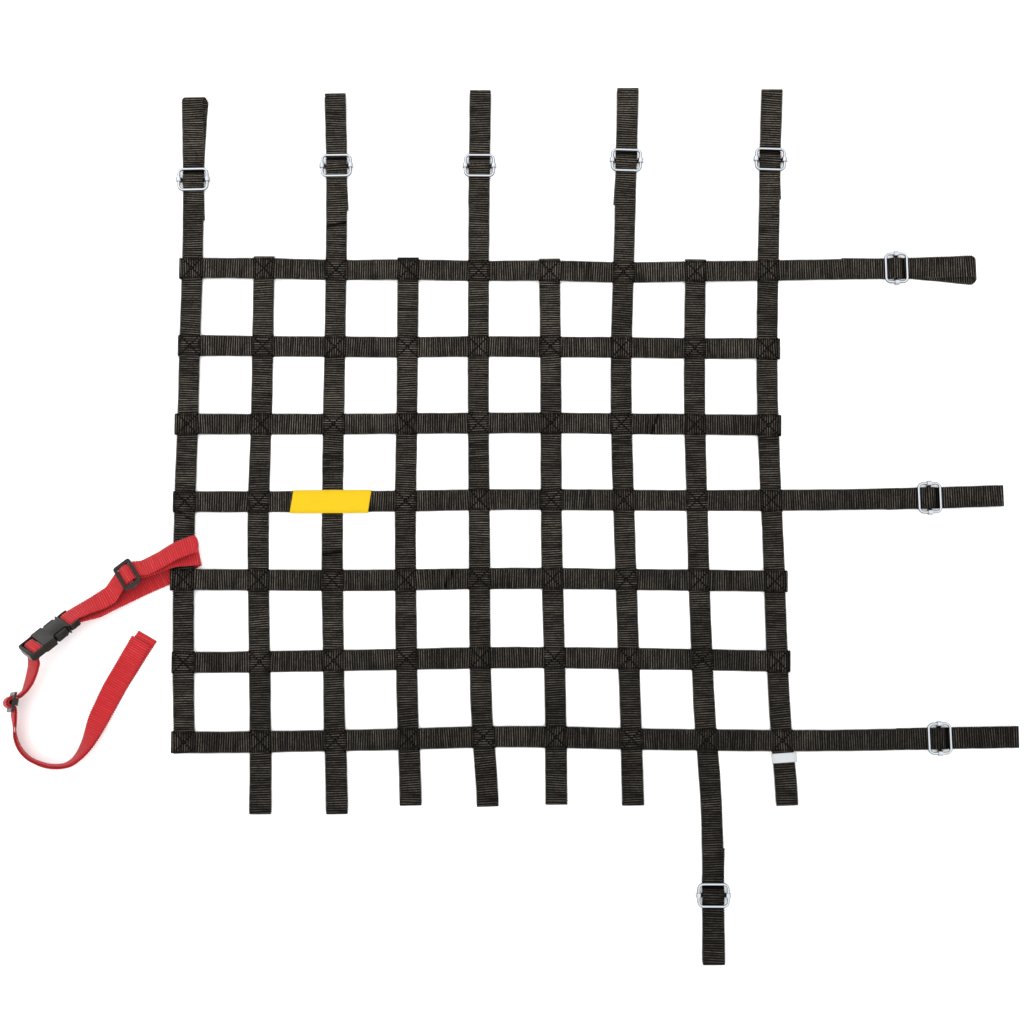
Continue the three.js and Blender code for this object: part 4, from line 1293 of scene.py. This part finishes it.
# %% Label sheets
FRONT_LABEL = dict(middle=-159.5, length=84, width=25, shift=-0.3)
CARE_LABEL = dict(near=-269.8, far=-279.8, width=27, shift=-0.5)
LABEL_CLEAR = LOW + GAP + 0.05
LABEL_THIN = 0.5
LABEL_HEM = 0.8
HEM_LONG = 4
LABEL_STEP = 0.8
LABEL_SECTION = [
    (-0.99, 1), (-0.5, 1), (0, 1), (0.5, 1), (0.99, 1), (1, 0), (0.99, -1), (-0.99, -1), (-1, 0),
]
TIP_LONG = 0.5
TIP_THICK = 0.7
TIP_NARROWER = 0.3
LABEL_SLANT = 0.16
RIBBON_WEFT = 0.8
RIBBON_WARP = 0.5


def slope_to(x, other):
    """How fast a row falls from one crossing towards the next."""
    return STEP / abs(other - x - 2 * CROSS_FLAT * np.sign(other - x))


def front_label_path():
    """Over the crossing and down a little to both sides."""
    x = CROSSINGS[4, 3][0]
    left = FRONT_LABEL["middle"] - FRONT_LABEL["length"] / 2
    right = FRONT_LABEL["middle"] + FRONT_LABEL["length"] / 2
    z = level_z(row_level(4, 3)) + LABEL_CLEAR
    shift = FRONT_LABEL["shift"]
    drop_left = (x - CROSS_FLAT - left) * slope_to(x, CROSSINGS[4, 2][0])
    drop_right = (right - x - CROSS_FLAT) * slope_to(x, CROSSINGS[4, 4][0])
    return [
        (left, z - drop_left, shift), (x - CROSS_FLAT, z, shift),
        (x + CROSS_FLAT, z, shift), (right, z - drop_right, shift),
    ]


def care_label_path():
    """Down the foot loop of the last column."""
    sewn = CROSSINGS[7, 9][1] - CROSS_FLAT
    rise = (LOW + FOOT_RISE - level_z(1)) / (sewn - (COLUMNS[9]["end"] + FOOT_RISE / 2 + LOW))
    z, shift = level_z(1) + LABEL_CLEAR, CARE_LABEL["shift"]
    far, near = CARE_LABEL["far"], CARE_LABEL["near"]
    return [(far, z + (sewn - far) * rise, shift), (sewn, z, shift), (near, z, shift)]


def label_sheet(name, points, edges, width, slant=0):
    """A thin closed sheet with thicker hems and pressed tips, resting on the strap below."""
    middles, sides, at = even_rings(points, edges, LABEL_STEP, 1)
    sides = sides + unit(np.gradient(middles, axis=0)) * slant
    from_end = np.minimum(at, at[-1] - at)
    thick = np.where(from_end < min(HEM_LONG, at[-1] / 3), LABEL_HEM, LABEL_THIN)
    thick = thick * np.where(from_end < TIP_LONG, TIP_THICK, 1)
    middles = middles + np.array([0, 0, 1]) * thick[:, None] / 2
    half_width = np.full(len(at), width / 2) - np.where(from_end < TIP_LONG, TIP_NARROWER, 0)
    mesh, across, j = rolled(name, middles, sides, half_width, thick / 2, LABEL_SECTION)
    mark(mesh, "weave", np.column_stack([across, at[j], from_end[j]]))
    close_up(mesh)
    return mesh, at[-1]


def damask_ribbon(name, ground, light):
    """Fine woven ribbon: a satin ground with thin threads both ways."""
    material, tree = new_material(name)
    weave = add(tree, "Attribute", attribute_name="weave").outputs["Vector"]
    here = add(tree, "TexCoord").outputs["Object"]
    weft, warp = [
        add(
            tree, "TexWave", {"Vector": weave, "Scale": 1 / (pitch * WAVE_TURN), "Distortion": 0.4},
            bands_direction=way,
        ).outputs["Fac"]
        for pitch, way in ((RIBBON_WEFT, "Y"), (RIBBON_WARP, "X"))
    ]
    cloth = add(tree, "Math", {0: weft, 1: warp}, operation="MULTIPLY").outputs[0]
    soil = add(tree, "TexNoise", {"Vector": here, "Scale": 1 / (14 * MM), "Detail": 3}).outputs["Fac"]
    mixed = add(tree, "Math", {0: cloth, 1: soil}, operation="MULTIPLY").outputs[0]
    tone = add(
        tree, "Mix", {"Factor": mixed, "A": colour(ground), "B": colour(light)}, data_type="RGBA",
    ).outputs["Result"]
    bump = add(tree, "Bump", {"Height": cloth, "Distance": 0.12 * MM, "Strength": 0.7})
    finish_material(tree, add(tree, "BsdfPrincipled", {
        "Base Color": tone, "Roughness": 0.7, "IOR": 1.5, "Specular IOR Level": 0.2,
        "Sheen Weight": 0.04, "Normal": bump.outputs[0],
    }))
    return material


YELLOW_RIBBON = damask_ribbon("yellow_damask_ribbon", "#c3a003", "#dcbd08")
WHITE_RIBBON = damask_ribbon("white_damask_ribbon", "#abaeb1", "#bbbec0")
front_stations = on_line(front_label_path(), row_line(4))
mesh, length = label_sheet("front_label_ribbon", *front_stations, FRONT_LABEL["width"], LABEL_SLANT)
piece = place_piece("front_label_ribbon", mesh, YELLOW_RIBBON, "front_label")
care_stations = on_line(care_label_path(), column_line(9))
mesh, length = label_sheet("care_label_ribbon", *care_stations, CARE_LABEL["width"])
piece = place_piece("care_label_ribbon", mesh, WHITE_RIBBON, "care_label")
print("two labels")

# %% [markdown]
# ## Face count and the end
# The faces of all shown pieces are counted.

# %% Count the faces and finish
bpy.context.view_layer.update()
faces = sum(len(o.data.polygons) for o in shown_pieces() if o.type == "MESH")
print("faces in all:", faces)
